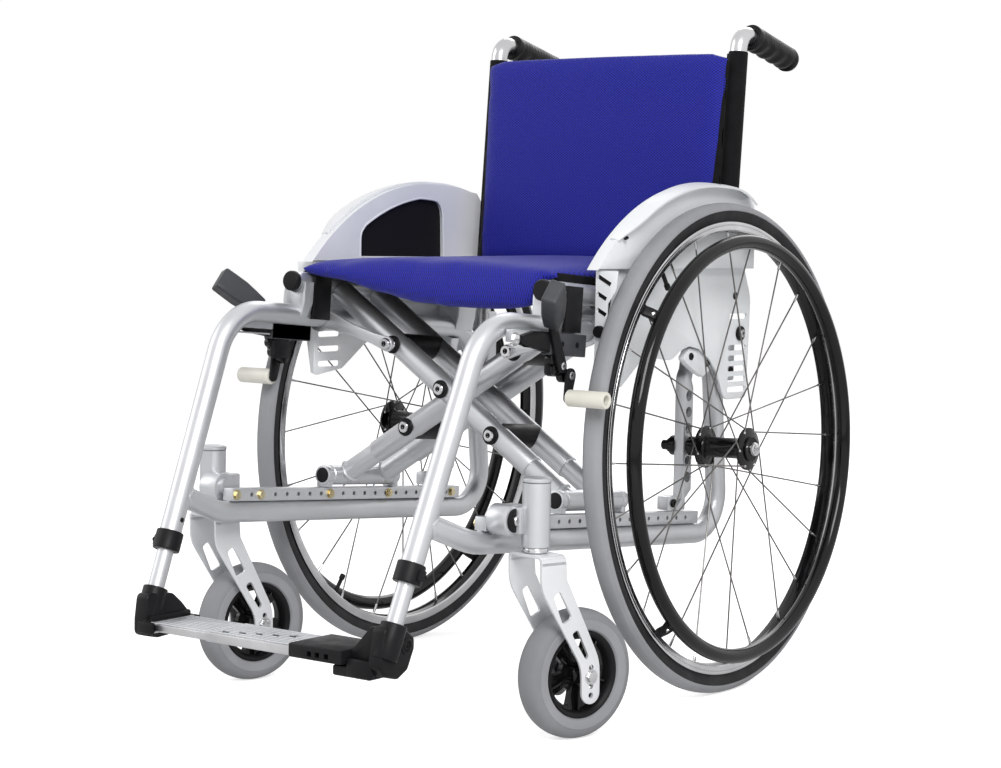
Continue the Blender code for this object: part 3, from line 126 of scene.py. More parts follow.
def leg_point(sign, z):
    rise = z - LEG_FOOT.z
    spread = (SIDE_X - LEG_FOOT.x) * rise / (knee_height() - LEG_FOOT.z)
    return Vector((sign * (LEG_FOOT.x + spread), LEG_FOOT.y + rise * LEG_RAKE, z))


def post_point(sign, z):
    return Vector((sign * SIDE_X, POST_FOOT.y + (z - POST_FOOT.z) * POST_LEAN, z))


def aligned(origin, direction, up=(0.0, 0.0, 1.0)):
    """A frame whose z axis runs along direction."""
    z_axis = Vector(direction).normalized()
    x_axis = Vector(up).cross(z_axis)
    if x_axis.length < 1e-6:
        x_axis = Vector((1.0, 0.0, 0.0))
    x_axis.normalize()
    made = Matrix((x_axis, z_axis.cross(x_axis), z_axis)).transposed().to_4x4()
    made.translation = Vector(origin)
    return made


def across(x):
    """A frame for outlines drawn as (y, z) and thickened along x."""
    made = Matrix(((0, 0, 1), (1, 0, 0), (0, 1, 0))).to_4x4()
    made.translation = Vector((x, 0, 0))
    return made


UPRIGHT = Matrix(((1, 0, 0), (0, 0, 1), (0, 1, 0))).to_4x4()  # outlines drawn as (x, z)


def along_rail(a):
    """A frame for outlines drawn as (x, b), square to the rails, whose z axis runs forwards."""
    forward = Vector((0, -math.cos(RAKE), math.sin(RAKE)))
    up = Vector((0, math.sin(RAKE), math.cos(RAKE)))
    made = Matrix((Vector((1, 0, 0)), up, forward)).transposed().to_4x4()
    made.translation = rail_point(0, a, 0)
    return made


def joint_place(name):
    return TO_HUB @ Vector(JOINTS[name]["pos_m"])


def wheel_frame(side):
    return aligned(joint_place(side + "_wheel_spin"), JOINTS[side + "_wheel_spin"]["axis"], (0, 1, 0))


def caster_frame(side):
    """The swivelled caster's frame: origin on the floor under the stem, y along the trail."""
    stem = joint_place(side + "_caster_swivel")
    trail = joint_place(side + "_caster_spin") - stem
    turn = math.atan2(trail.x, trail.y)
    return Matrix.Translation((stem.x, stem.y, 0.0)) @ Matrix.Rotation(-turn, 4, "Z")


def caster_wheel_frame(side):
    centre = Matrix.Translation((0.0, CASTER_TRAIL, CASTER_RADIUS))
    return caster_frame(side) @ centre @ Matrix.Rotation(math.radians(90), 4, "Y")


# Shapes


def mesh_of(work):
    mesh = bpy.data.meshes.new("shape")
    work.to_mesh(mesh)
    work.free()
    return mesh


def put(name, data):
    """An object in the scene."""
    obj = bpy.data.objects.new(name, data)
    bpy.context.scene.collection.objects.link(obj)
    return obj


def evaluated(obj):
    """The object's mesh with its modifiers worked in."""
    graph = bpy.context.evaluated_depsgraph_get()
    return bpy.data.meshes.new_from_object(obj.evaluated_get(graph))


def block(low, high, place=None, edge=0.0, segments=2):
    work = bmesh.new()
    bmesh.ops.create_cube(work, size=1.0)
    low, high = Vector(low), Vector(high)
    lay = Matrix.Translation((low + high) / 2) @ Matrix.Diagonal((*(high - low), 1.0))
    bmesh.ops.transform(work, matrix=lay, verts=work.verts)
    if edge:
        soften(work, work.edges[:], edge, segments)
    if place is not None:
        bmesh.ops.transform(work, matrix=place, verts=work.verts)
    bmesh.ops.recalc_face_normals(work, faces=work.faces)
    return mesh_of(work)


def side_block(sign, x_near, x_far, low, high, edge=0.0):
    """A block given by its distances from the middle of the chair and its (y, z) corners."""
    x_low, x_high = sorted((sign * x_near, sign * x_far))
    return block((x_low, *low), (x_high, *high), None, edge)


def soften(work, edges, width, segments=2):
    bmesh.ops.bevel(
        work, geom=edges, offset=width, segments=segments, profile=0.5,
        affect="EDGES", material=-1, clamp_overlap=True,
    )


def rod(start, end, radius, sides=32, edge=0.0, tip=None):
    """A round bar, or a cone where tip gives the radius of its end."""
    start, end = Vector(start), Vector(end)
    work = bmesh.new()
    far = radius if tip is None else tip
    bmesh.ops.create_cone(
        work, cap_ends=True, segments=sides, radius1=radius, radius2=far, depth=(end - start).length
    )
    if edge:
        rims = [e for e in work.edges if any(len(f.verts) == sides for f in e.link_faces)]
        soften(work, rims, edge)
    place = aligned((start + end) / 2, end - start)
    bmesh.ops.transform(work, matrix=place, verts=work.verts)
    return mesh_of(work)


def cross_rod(sign, x_from, x_to, y, z, radius, sides=32, edge=0.0):
    """A round bar across the chair, given by its distances from the middle."""
    return rod((sign * x_from, y, z), (sign * x_to, y, z), radius, sides, edge)


def rail_rod(x, a_from, a_to, b, radius, sides=32, edge=0.0):
    """A round bar along the rails."""
    return rod(rail_point(x, a_from, b), rail_point(x, a_to, b), radius, sides, edge)


def spun(profile, steps, closed):
    """A profile of (radius, height) points spun about the z axis."""
    work = bmesh.new()
    verts = [work.verts.new((radius, 0.0, height)) for radius, height in profile]
    ring = verts + verts[:1] if closed else verts
    edges = [work.edges.new(pair) for pair in zip(ring, ring[1:])]
    bmesh.ops.spin(
        work, geom=verts + edges, cent=(0, 0, 0), axis=(0, 0, 1), dvec=(0, 0, 0),
        angle=2 * math.pi, steps=steps, use_merge=True,
    )
    bmesh.ops.remove_doubles(work, verts=work.verts, dist=1e-6)
    return work


def turned(profile, place, steps=64, closed=True):
    """A solid turning about the place's z axis."""
    work = spun(profile, steps, closed)
    bmesh.ops.recalc_face_normals(work, faces=work.faces)
    bmesh.ops.transform(work, matrix=place, verts=work.verts)
    return mesh_of(work)


def slab(outline, thickness, place, edge=0.0, segments=2):
    """A flat outline thickened evenly to both sides, with softened rims."""
    work = bmesh.new()
    face = work.faces.new([work.verts.new((x, y, -thickness / 2)) for x, y in outline])
    pushed = bmesh.ops.extrude_face_region(work, geom=[face])["geom"]
    cap = [v for v in pushed if isinstance(v, bmesh.types.BMVert)]
    bmesh.ops.translate(work, vec=(0, 0, thickness), verts=cap)
    bmesh.ops.recalc_face_normals(work, faces=work.faces)
    if edge:
        rims = [e for e in work.edges if abs(e.verts[0].co.z - e.verts[1].co.z) < thickness / 4]
        soften(work, rims, edge, segments)
    bmesh.ops.transform(work, matrix=place, verts=work.verts)
    return mesh_of(work)


def swept(points, radius, sides=28):
    """A round tube along a path."""
    curve = bpy.data.curves.new("path", "CURVE")
    curve.dimensions = "3D"
    curve.bevel_depth = radius
    curve.bevel_resolution = max(1, sides // 2 - 2)
    curve.use_fill_caps = True
    spline = curve.splines.new("POLY")
    spline.points.add(len(points) - 1)
    for knot, place in zip(spline.points, points):
        knot.co = (*place, 1.0)
    obj = put("path", curve)
    mesh = evaluated(obj)
    bpy.data.objects.remove(obj)
    return mesh


def arc(centre, radius, start, end, steps):
    """Points of a round stretch, its angles in degrees."""
    angles = [math.radians(start + (end - start) * i / steps) for i in range(steps + 1)]
    return [(centre[0] + radius * math.cos(t), centre[1] + radius * math.sin(t)) for t in angles]


def corner_at(points, i):
    """A corner of an outline between the two beside it."""
    return Vector(points[i - 1]), Vector(points[i]), Vector(points[(i + 1) % len(points)])


def soft_corner(before, here, after, back_reach, ahead_reach, steps):
    """The points of one eased corner."""
    start = here + (before - here).normalized() * back_reach
    end = here + (after - here).normalized() * ahead_reach
    shares = [k / steps for k in range(steps + 1)]
    return [tuple(start * (1 - t) ** 2 + here * 2 * t * (1 - t) + end * t * t) for t in shares]


def rounded(points, radius, steps=5):
    """An outline with its corners rounded."""
    made = []
    for i in range(len(points)):
        before, here, after = corner_at(points, i)
        turn = math.pi - (before - here).angle(after - here)
        if turn < 0.05:
            made.append(tuple(here))
            continue
        room = min((before - here).length, (after - here).length) * 0.45
        reach = min(radius * math.tan(turn / 2), room)
        made += soft_corner(before, here, after, reach, reach, steps)
    return made


def soft_corners(outline, radius, which, steps=4):
    """The outline with only some of its corners rounded."""
    made = []
    for i, corner in enumerate(outline):
        if i not in which:
            made.append(corner)
            continue
        before, here, after = corner_at(outline, i)
        reaches = [min(radius, (other - here).length * 0.45) for other in (before, after)]
        made += soft_corner(before, here, after, *reaches, steps)
    return made


def bent_path(corners, radii, step=math.radians(6)):
    """The axis of a bent tube: straight runs joined by round bends at the inner corners."""
    corners = [Vector(corner) for corner in corners]
    path = [corners[0]]
    for before, corner, after, radius in zip(corners, corners[1:], corners[2:], radii):
        back = (before - corner).normalized()
        ahead = (after - corner).normalized()
        turn = math.pi - back.angle(ahead)
        middle = corner + (back + ahead).normalized() * radius / math.cos(turn / 2)
        first = corner + back * radius * math.tan(turn / 2)
        axis = (first - middle).cross(-back).normalized()
        steps = max(2, round(turn / step))
        for i in range(steps + 1):
            path.append(middle + Matrix.Rotation(turn * i / steps, 3, axis) @ (first - middle))
    path.append(corners[-1])
    return path


def cut(mesh, cutters):
    """The mesh with holes."""
    body, tool = put("body", mesh), put("tool", merged(cutters))
    modifier = body.modifiers.new("holes", "BOOLEAN")
    modifier.operation = "DIFFERENCE"
    modifier.solver = "EXACT"
    modifier.object = tool
    result = evaluated(body)
    bpy.data.objects.remove(body)
    bpy.data.objects.remove(tool)
    return result


def merged(meshes):
    work = bmesh.new()
    for mesh in meshes:
        work.from_mesh(mesh)
    return mesh_of(work)


def piece(name, body, parts, stands_for=(), crease=35):
    """One finished piece from (mesh, finish) parts, riding on a body."""
    work = bmesh.new()
    finishes = []
    for mesh, finish in parts:
        if finish not in finishes:
            finishes.append(finish)
        start = len(work.faces)
        work.from_mesh(mesh)
        work.faces.ensure_lookup_table()
        for face in work.faces[start:]:
            face.material_index = finishes.index(finish)
    bmesh.ops.transform(work, matrix=TO_PACKED, verts=work.verts)
    mesh = mesh_of(work)
    mesh.name = name
    for finish in finishes:
        mesh.materials.append(FINISHES[finish])
    mesh.shade_smooth()
    mesh.set_sharp_from_angle(angle=math.radians(crease))
    obj = put(name, mesh)
    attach(obj, body)
    if stands_for:
        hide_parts(*stands_for)


def side_piece(side, name, body, parts, solid, crease=35):
    """A piece of one side, on that side's body and in place of that side's solid."""
    piece(f"{side}_{name}", f"{side}_{body}", parts, [f"{side}_{solid}"], crease)


# Finishes


def new_finish(name):
    made = bpy.data.materials.new(name)
    made.use_nodes = True
    return made, made.node_tree.nodes, made.node_tree.links, made.node_tree.nodes["Principled BSDF"]


def tuned(node, **values):
    """The node with some inputs set. An input's words are joined by _."""
    for name, value in values.items():
        node.inputs[name.replace("_", " ")].default_value = value
    return node


def reckoned(nodes, links, operation, first, second):
    """The outcome of a math node on two sockets, or on a socket and a number."""
    made = nodes.new("ShaderNodeMath")
    made.operation = operation
    links.new(first, made.inputs[0])
    if isinstance(second, float):
        made.inputs[1].default_value = second
    else:
        links.new(second, made.inputs[1])
    return made.outputs["Value"]


def bumped(nodes, links, shader, height, strength, distance):
    bump = tuned(nodes.new("ShaderNodeBump"), Strength=strength, Distance=distance)
    links.new(height, bump.inputs["Height"])
    links.new(bump.outputs["Normal"], shader.inputs["Normal"])


def noise_on(nodes, links, coords, scale, detail):
    texture = tuned(nodes.new("ShaderNodeTexNoise"), Scale=scale, Detail=detail)
    links.new(coords, texture.inputs["Vector"])
    return texture.outputs["Fac"]


def grain(nodes, links, shader, coords, scale, strength, distance):
    """A fine bump from noise."""
    bumped(nodes, links, shader, noise_on(nodes, links, coords, scale, 3.0), strength, distance)


def spread(nodes, links, coords, socket, low, high, scale):
    """A value or a colour that wanders between two ends over the surface."""
    ramp = nodes.new("ShaderNodeValToRGB")
    for element, place, end in zip(ramp.color_ramp.elements, (0.35, 0.65), (low, high)):
        element.position = place
        element.color = (end, end, end, 1.0) if isinstance(end, float) else (*end, 1.0)
    links.new(noise_on(nodes, links, coords, scale, 4.0), ramp.inputs["Fac"])
    links.new(ramp.outputs["Color"], socket)


def plain_finish(name, dark, light, rough, metallic, bump, shine=0.5, coat=0.0):
    """A moulded, painted or polished surface: colour drift, uneven gloss and a fine grain."""
    made, nodes, links, shader = new_finish(name)
    coords = nodes.new("ShaderNodeTexCoord").outputs["Object"]
    spread(nodes, links, coords, shader.inputs["Base Color"], dark, light, 14.0)
    spread(nodes, links, coords, shader.inputs["Roughness"], *rough, 40.0)
    tuned(shader, Metallic=metallic, Coat_Weight=coat, Coat_Roughness=0.15, Specular_IOR_Level=shine)
    grain(nodes, links, shader, coords, *bump)
    made.diffuse_color = (*light, 1.0)
    return made


def mesh_fabric(name, dark, light, pitch=(0.0046, 0.0034)):
    """A knitted spacer mesh: staggered small openings, laid out by the piece's UV map in metres."""
    made, nodes, links, shader = new_finish(name)
    coords = nodes.new("ShaderNodeTexCoord").outputs["UV"]
    distances = []
    for shift in (0.0, 0.5):
        mapping = nodes.new("ShaderNodeMapping")
        tuned(mapping, Scale=(1 / pitch[0], 1 / pitch[1], 1.0), Location=(shift, shift, 0.0))
        links.new(coords, mapping.inputs["Vector"])
        cells = nodes.new("ShaderNodeTexVoronoi")
        cells.voronoi_dimensions = "2D"
        tuned(cells, Scale=1.0, Randomness=0.0)
        links.new(mapping.outputs["Vector"], cells.inputs["Vector"])
        distances.append(cells.outputs["Distance"])
    nearest = reckoned(nodes, links, "MINIMUM", *distances)
    tone = nodes.new("ShaderNodeValToRGB")
    for element, place, colour in zip(tone.color_ramp.elements, (0.14, 0.34), (dark, light)):
        element.position = place
        element.color = (*colour, 1.0)
    links.new(nearest, tone.inputs["Fac"])
    links.new(tone.outputs["Color"], shader.inputs["Base Color"])
    level = tuned(nodes.new("ShaderNodeMapRange"), From_Min=0.1, From_Max=0.4)
    links.new(nearest, level.inputs["Value"])
    bumped(nodes, links, shader, level.outputs["Result"], 0.7, 0.0007)
    tuned(shader, Roughness=0.62, Sheen_Weight=0.12, Sheen_Roughness=0.4, Specular_IOR_Level=0.25)
    made.diffuse_color = (*light, 1.0)
    return made


def webbing(name, dark, light):
    """Woven tape: fine ribs across a dark matte cloth."""
    made, nodes, links, shader = new_finish(name)
    coords = nodes.new("ShaderNodeTexCoord").outputs["Object"]
    wave = tuned(nodes.new("ShaderNodeTexWave"), Scale=260.0, Distortion=0.6)
    wave.bands_direction = "DIAGONAL"
    links.new(coords, wave.inputs["Vector"])
    bumped(nodes, links, shader, wave.outputs["Fac"], 0.5, 0.0004)
    spread(nodes, links, coords, shader.inputs["Base Color"], dark, light, 60.0)
    tuned(shader, Roughness=0.85, Specular_IOR_Level=0.12, Sheen_Weight=0.03)
    return made


def guard_plastic(name, dark, light):
    """Pale moulded plastic that lets a little light through."""
    made, nodes, links, shader = new_finish(name)
    coords = nodes.new("ShaderNodeTexCoord").outputs["Object"]
    spread(nodes, links, coords, shader.inputs["Base Color"], dark, light, 8.0)
    spread(nodes, links, coords, shader.inputs["Roughness"], 0.3, 0.42, 50.0)
    tuned(shader, Subsurface_Weight=0.15, Subsurface_Radius=(0.004, 0.004, 0.004))
    grain(nodes, links, shader, coords, 700.0, 0.05, 0.0002)
    return made


RUBBER = (900.0, 0.25, 0.0003)
# name, darker and lighter colour, roughness, metallic, grain (scale, strength, depth), shine, coat
PLAIN_FINISHES = {
    "silver": (
        "silver_paint", (0.57, 0.58, 0.6), (0.61, 0.62, 0.64), (0.35, 0.4), 0.75, (220.0, 0.03, 0.0001)
    ),
    "pale": (
        "pale_silver_paint", (0.74, 0.75, 0.77), (0.78, 0.79, 0.81), (0.38, 0.46), 0.45,
        (260.0, 0.03, 0.0001),
    ),
    "weld": (
        "painted_weld", (0.56, 0.57, 0.59), (0.64, 0.65, 0.67), (0.32, 0.45), 0.4,
        (500.0, 0.5, 0.0006), 0.5, 0.1,
    ),
    "steel": ("steel", (0.52, 0.52, 0.53), (0.66, 0.66, 0.67), (0.14, 0.26), 1.0, (500.0, 0.06, 0.0002)),
    "chrome": ("chrome", (0.62, 0.62, 0.63), (0.72, 0.72, 0.73), (0.08, 0.16), 1.0, (300.0, 0.03, 0.0002)),
    "spoke": ("spoke_steel", (0.1, 0.1, 0.1), (0.2, 0.19, 0.18), (0.25, 0.4), 0.8, (300.0, 0.02, 0.0002)),
    "zinc": ("yellow_zinc", (0.5, 0.42, 0.24), (0.66, 0.58, 0.38), (0.24, 0.4), 1.0, (700.0, 0.1, 0.0002)),
    "board": (
        "ribbed_aluminium", (0.46, 0.46, 0.47), (0.62, 0.62, 0.63), (0.22, 0.34), 0.9,
        (900.0, 0.1, 0.0002),
    ),
    "black": (
        "black_plastic", (0.005, 0.005, 0.006), (0.011, 0.011, 0.012), (0.34, 0.5), 0.0,
        (1200.0, 0.25, 0.0003), 0.16,
    ),
    "gloss": (
        "gloss_black", (0.003, 0.003, 0.003), (0.006, 0.006, 0.006), (0.07, 0.13), 0.0,
        (60.0, 0.02, 0.0002), 0.28,
    ),
    "grey": (
        "dark_grey_plastic", (0.04, 0.042, 0.047), (0.06, 0.063, 0.07), (0.4, 0.55), 0.0,
        (1500.0, 0.3, 0.0003), 0.3,
    ),
    "cream": (
        "cream_plastic", (0.64, 0.62, 0.54), (0.76, 0.74, 0.67), (0.35, 0.5), 0.0, (400.0, 0.1, 0.0002)
    ),
    "tyre": ("grey_rubber", (0.265, 0.27, 0.282), (0.315, 0.32, 0.335), (0.6, 0.78), 0.0, RUBBER, 0.4),
    "caster_tyre": (
        "caster_rubber", (0.212, 0.216, 0.226), (0.252, 0.256, 0.268), (0.6, 0.78), 0.0, RUBBER, 0.4
    ),
    "wall": ("black_rubber", (0.01, 0.01, 0.011), (0.018, 0.018, 0.02), (0.5, 0.65), 0.0, RUBBER, 0.25),
}
FINISHES = {key: plain_finish(*values) for key, values in PLAIN_FINISHES.items()}
FINISHES["guard"] = guard_plastic("guard_plastic", (0.76, 0.78, 0.8), (0.83, 0.84, 0.86))
FINISHES["blue"] = mesh_fabric("blue_mesh", (0.003, 0.004, 0.09), (0.014, 0.018, 0.36))
FINISHES["blue_rib"] = mesh_fabric(
    "blue_rib", (0.003, 0.004, 0.1), (0.014, 0.018, 0.37), (0.0032, 0.01)
)
FINISHES["black_mesh"] = mesh_fabric(
    "black_mesh", (0.001, 0.001, 0.001), (0.012, 0.011, 0.012), (0.003, 0.0022)
)
FINISHES["tape"] = webbing("black_tape", (0.0056, 0.0056, 0.0063), (0.008, 0.008, 0.009))


# Fasteners


def socket_screw(place, direction, radius, height, finish="steel"):
    """A round head with a hexagon socket, its back at place."""
    lay = aligned(place, direction)
    dome = [
        (0.0, height * 0.35), (radius * 0.42, height * 0.35), (radius * 0.46, height),
        (radius * 0.86, height), (radius, height * 0.72), (radius, 0.0), (0.0, 0.0),
    ]
    hexagon = arc((0, 0), radius * 0.42, 0, 300, 5)
    socket = slab(hexagon, height * 0.04, lay @ Matrix.Translation((0, 0, height * 0.38)))
    return [(turned(dome, lay, 32, False), finish), (socket, "black")]


def hex_head(place, direction, radius, height, finish="zinc"):
    lay = aligned(place, direction)
    middle = lay @ Matrix.Translation((0, 0, height / 2))
    hexagon = slab(arc((0, 0), radius, 0, 300, 5), height, middle, radius * 0.08)
    wide, thick = radius * 1.35, height * 0.2
    washer = turned([(0.0, 0.0), (wide, 0.0), (wide, thick), (0.0, thick)], lay, 24, False)
    return [(hexagon, finish), (washer, finish)]


def washered_bolt(place, direction, washer=0.011, head=0.007):
    """The brace's bolts: a black washer under a steel socket head."""
    lay = aligned(place, direction)
    ring = [(0.0, 0.0), (washer, 0.0), (washer, 0.0014), (washer - 0.001, 0.0022), (0.0, 0.0022)]
    screw = socket_screw(lay @ Vector((0, 0, 0.0018)), direction, head, 0.0045)
    return [(turned(ring, lay, 40, False), "black")] + screw


# Wheels


def turned_bands(profile, place, steps, bands):
    """A closed turning in several finishes: bands lists (first profile edge, finish) in order."""
    made = []
    ends = [first for first, _ in bands[1:]] + [len(profile)]
    for (first, finish), last in zip(bands, ends):
        stretch = [profile[i % len(profile)] for i in range(first, last + 1)]
        made.append((open_turned(stretch, place, steps, profile), finish))
    return made


def open_turned(stretch, place, steps, whole):
    """An open band of a turning, its faces pointing away from the middle of the whole profile."""
    work = spun(stretch, steps, False)
    middle_r = sum(r for r, _ in whole) / len(whole)
    middle_h = sum(h for _, h in whole) / len(whole)
    agree = 0.0
    for face in work.faces:
        centre = face.calc_center_median()
        around = Vector((centre.x, centre.y, 0.0)).normalized() * middle_r + Vector((0, 0, middle_h))
        agree += face.normal.dot(centre - around) * face.calc_area()
    if agree < 0:
        bmesh.ops.reverse_faces(work, faces=work.faces)
    bmesh.ops.transform(work, matrix=place, verts=work.verts)
    return mesh_of(work)


def rear_wheel(side):
    lay = wheel_frame(side)
    wall = [
        (0.2738, -0.0082), (0.2738, 0.0082), (0.2765, 0.01), (0.2815, 0.0116), (0.286, 0.0121),
        (0.2866, 0.0117),
    ]
    shoulder = [
        (0.2871, 0.0124), (0.2892, 0.0123), (0.292, 0.0107), (0.2925, 0.01), (0.2934, 0.0097),
        (0.295, 0.0076),
    ]
    crown = [(0.2961, 0.0042), (0.2965, 0.0), (0.2961, -0.0042)]
    back = [(r, -h) for r, h in reversed(shoulder)] + [(r, -h) for r, h in reversed(wall[1:])][:-1]
    profile = wall + shoulder + crown + back
    second = len(wall) + 2 * len(shoulder) + len(crown)
    bands = [(0, "wall"), (5, "tyre"), (second, "wall")]
    side_piece(side, "tyre_rubber", "wheel", turned_bands(profile, lay, 160, bands), "tyre")

    rim = [
        (RIM_OUTER, -0.0102), (RIM_OUTER, 0.0102), (0.2722, 0.0106), (0.27, 0.0104), (0.2697, 0.0099),
        (0.2691, 0.0099), (0.2688, 0.0104), (0.264, 0.0104), (0.2624, 0.009), (0.2612, 0.005),
        (0.2606, 0.0), (0.2612, -0.005), (0.2624, -0.009), (0.264, -0.0104), (0.2722, -0.0106),
    ]
    parts = turned_bands(rim, lay, 160, [(0, "steel"), (8, "gloss"), (12, "steel")])
    valve_at = lay @ Matrix.Rotation(math.radians(214), 4, "Z")
    stem = [valve_at @ Vector((r, 0, 0)) for r in (0.261, 0.24, 0.233)]
    parts.append((rod(stem[0], stem[1], 0.0026, 16, 0.0006), "black"))
    parts.append((rod(stem[1], stem[2], 0.0036, 16, 0.001), "black"))
    side_piece(side, "wheel_rim", "wheel", parts, "rim")
    spoked_hub(side, lay)
    push_ring(side, lay)


def spoked_hub(side, lay):
    barrel = [(0.0063, -0.0336), (0.011, -0.0336), (0.0116, -0.032), (0.0135, -0.0311)]
    for flange in HUB_FLANGES:
        barrel += [
            (0.015, flange - 0.0032), (0.024, flange - 0.002), (0.0257, flange - 0.0012),
            (0.0257, flange + 0.0012), (0.024, flange + 0.002), (0.015, flange + 0.0032),
        ]
        if flange < 0:
            barrel += [(0.0128, -0.021), (0.0122, 0.0), (0.0128, 0.025)]
    barrel += [(0.0152, 0.0357), (0.0152, 0.037), (0.0144, 0.0377), (0.0063, 0.0377)]
    parts = [(turned(barrel, lay, 64), "gloss")]
    root, tip, lean, crossing = 0.0227, 0.2602, math.radians(62), 0.0019
    for i in range(SPOKES):
        angle = 2 * math.pi * i / SPOKES
        flange = HUB_FLANGES[0] if i % 2 else HUB_FLANGES[1]
        way = 1 if (i // 2) % 2 else -1
        start = angle + way * lean
        foot = Vector((root * math.cos(start), root * math.sin(start), flange + way * crossing))
        end = Vector((tip * math.cos(angle), tip * math.sin(angle), math.copysign(0.002, flange)))
        run = (end - foot).normalized()
        parts.append((rod(lay @ foot, lay @ end, 0.00095, 8), "spoke"))
        parts.append((rod(lay @ (end - run * 0.012), lay @ end, 0.0015, 10, 0.0, 0.0019), "steel"))
        parts.append((rod(lay @ (foot - run * 0.001), lay @ (foot + run * 0.002), 0.0017, 10), "steel"))
    side_piece(side, "spoked_hub", "wheel", parts, "hub")


def push_ring(side, lay):
    parts = [(turned(arc((0.2492, 0.03), 0.0089, 0, 345, 23), lay, 160), "gloss")]
    outline = [
        (0.247, 0.0262), (0.257, 0.0262), (0.262, 0.0215), (0.2662, 0.015), (0.269, 0.015),
        (0.269, 0.0108), (0.2622, 0.0108), (0.257, 0.017), (0.247, 0.02),
    ]
    for i in range(RING_TABS):
        spin = lay @ Matrix.Rotation(math.radians(50 + 360 / RING_TABS * i), 4, "Z")
        parts.append((slab(outline, 0.012, spin @ UPRIGHT, 0.001), "black"))
        out = lay.to_3x3() @ Vector((0.7, 0, 0.7))
        parts += socket_screw(spin @ Vector((0.2585, 0.0, 0.0215)), out, 0.0036, 0.003)
    side_piece(side, "push_ring", "wheel", parts, "handrim")


def wheel_axle(side):
    lay = wheel_frame(side)
    inner = AXLE_INNER_X - WHEEL_X
    profile = [
        (0.0, inner - 0.001), (0.0052, inner - 0.001), (0.0062, inner), (0.0062, inner + 0.008),
        (0.0085, inner + 0.008), (0.009, inner + 0.0092), (0.009, inner + 0.0125),
        (0.0122, inner + 0.013), (0.0125, inner + 0.0145), (0.0125, -0.0652), (0.006, -0.0652),
        (0.006, -0.049), (0.0118, -0.049), (0.012, -0.048), (0.012, -0.0345), (0.006, -0.0339),
        (0.006, 0.038),
    ]
    cap = [
        (0.006, 0.038), (0.008, 0.038), (0.0082, 0.039), (0.0082, 0.0418), (0.0076, 0.0432),
        (0.0062, 0.0436), (0.006, 0.0452), (0.004, 0.0455), (0.0, 0.0455),
    ]
    parts = [(turned(profile, lay, 48, False), "gloss"), (turned(cap, lay, 48, False), "chrome")]
    side_piece(side, "axle_pin", "side", parts, "wheel_axle")


# Casters


def caster_wheel(side):
    lay = caster_wheel_frame(side)
    half = [
        (0.0484, 0.014), (0.05, 0.0156), (0.056, 0.0166), (0.06, 0.017), (0.064, 0.0162),
        (0.0678, 0.014), (0.07, 0.0108), (0.0712, 0.007), (0.0718, 0.0034),
    ]
    profile = half + [(0.0719, 0.0)] + [(r, -h) for r, h in reversed(half)]
    parts = [(turned(profile, lay, 120), "caster_tyre")]
    ring = [(0.049, 0.0146), (0.0502, 0.0163), (0.056, 0.0174)]
    ring += [(0.0598, 0.0176), (0.061, 0.016), (0.056, 0.015)]
    for way in (-1, 1):
        parts.append((turned([(r, way * h) for r, h in ring], lay, 120), "tyre"))
    side_piece(side, "caster_rubber", "caster_wheel", parts, "caster_tyre")
    ring = [
        (0.0476, -0.015), (0.0476, 0.015), (0.0462, 0.0152), (0.0436, 0.0138), (0.041, 0.01),
        (0.0405, 0.0), (0.041, -0.01), (0.0436, -0.0138), (0.0462, -0.0152),
    ]
    boss = [
        (0.0038, -0.0252), (0.007, -0.0252), (0.0074, -0.0245), (0.0074, -0.0165), (0.0125, -0.0135),
        (0.013, 0.0), (0.0125, 0.0135), (0.0074, 0.0165), (0.0074, 0.0245), (0.007, 0.0252),
        (0.0038, 0.0252),
    ]
    web = [(0.011, -0.0046), (0.011, 0.0046), (0.025, 0.003)]
    web += [(0.042, 0.0044), (0.042, -0.0044), (0.025, -0.003)]
    window = rounded(arc((0, 0), 0.0375, -19, 19, 8) + arc((0, 0), 0.0215, 13, -13, 5), 0.002, 3)
    ridge = [(0.011, -0.002), (0.042, -0.0013), (0.042, 0.0013), (0.011, 0.002)]
    fifth = 2 * math.pi / CASTER_SPOKES
    spins = [lay @ Matrix.Rotation(fifth * i, 4, "Z") for i in range(CASTER_SPOKES)]
    half_way = Matrix.Rotation(fifth / 2, 4, "Z")
    windows = [slab(window, 0.05, spin @ half_way) for spin in spins]
    parts = [(turned(ring, lay, 96), "black"), (turned(boss, lay, 40), "gloss")]
    parts.append((cut(turned(web, lay, 80), windows), "gloss"))
    parts += [(slab(ridge, 0.019, spin, 0.0006), "gloss") for spin in spins]
    side_piece(side, "caster_centre", "caster_wheel", parts, "caster_rim")


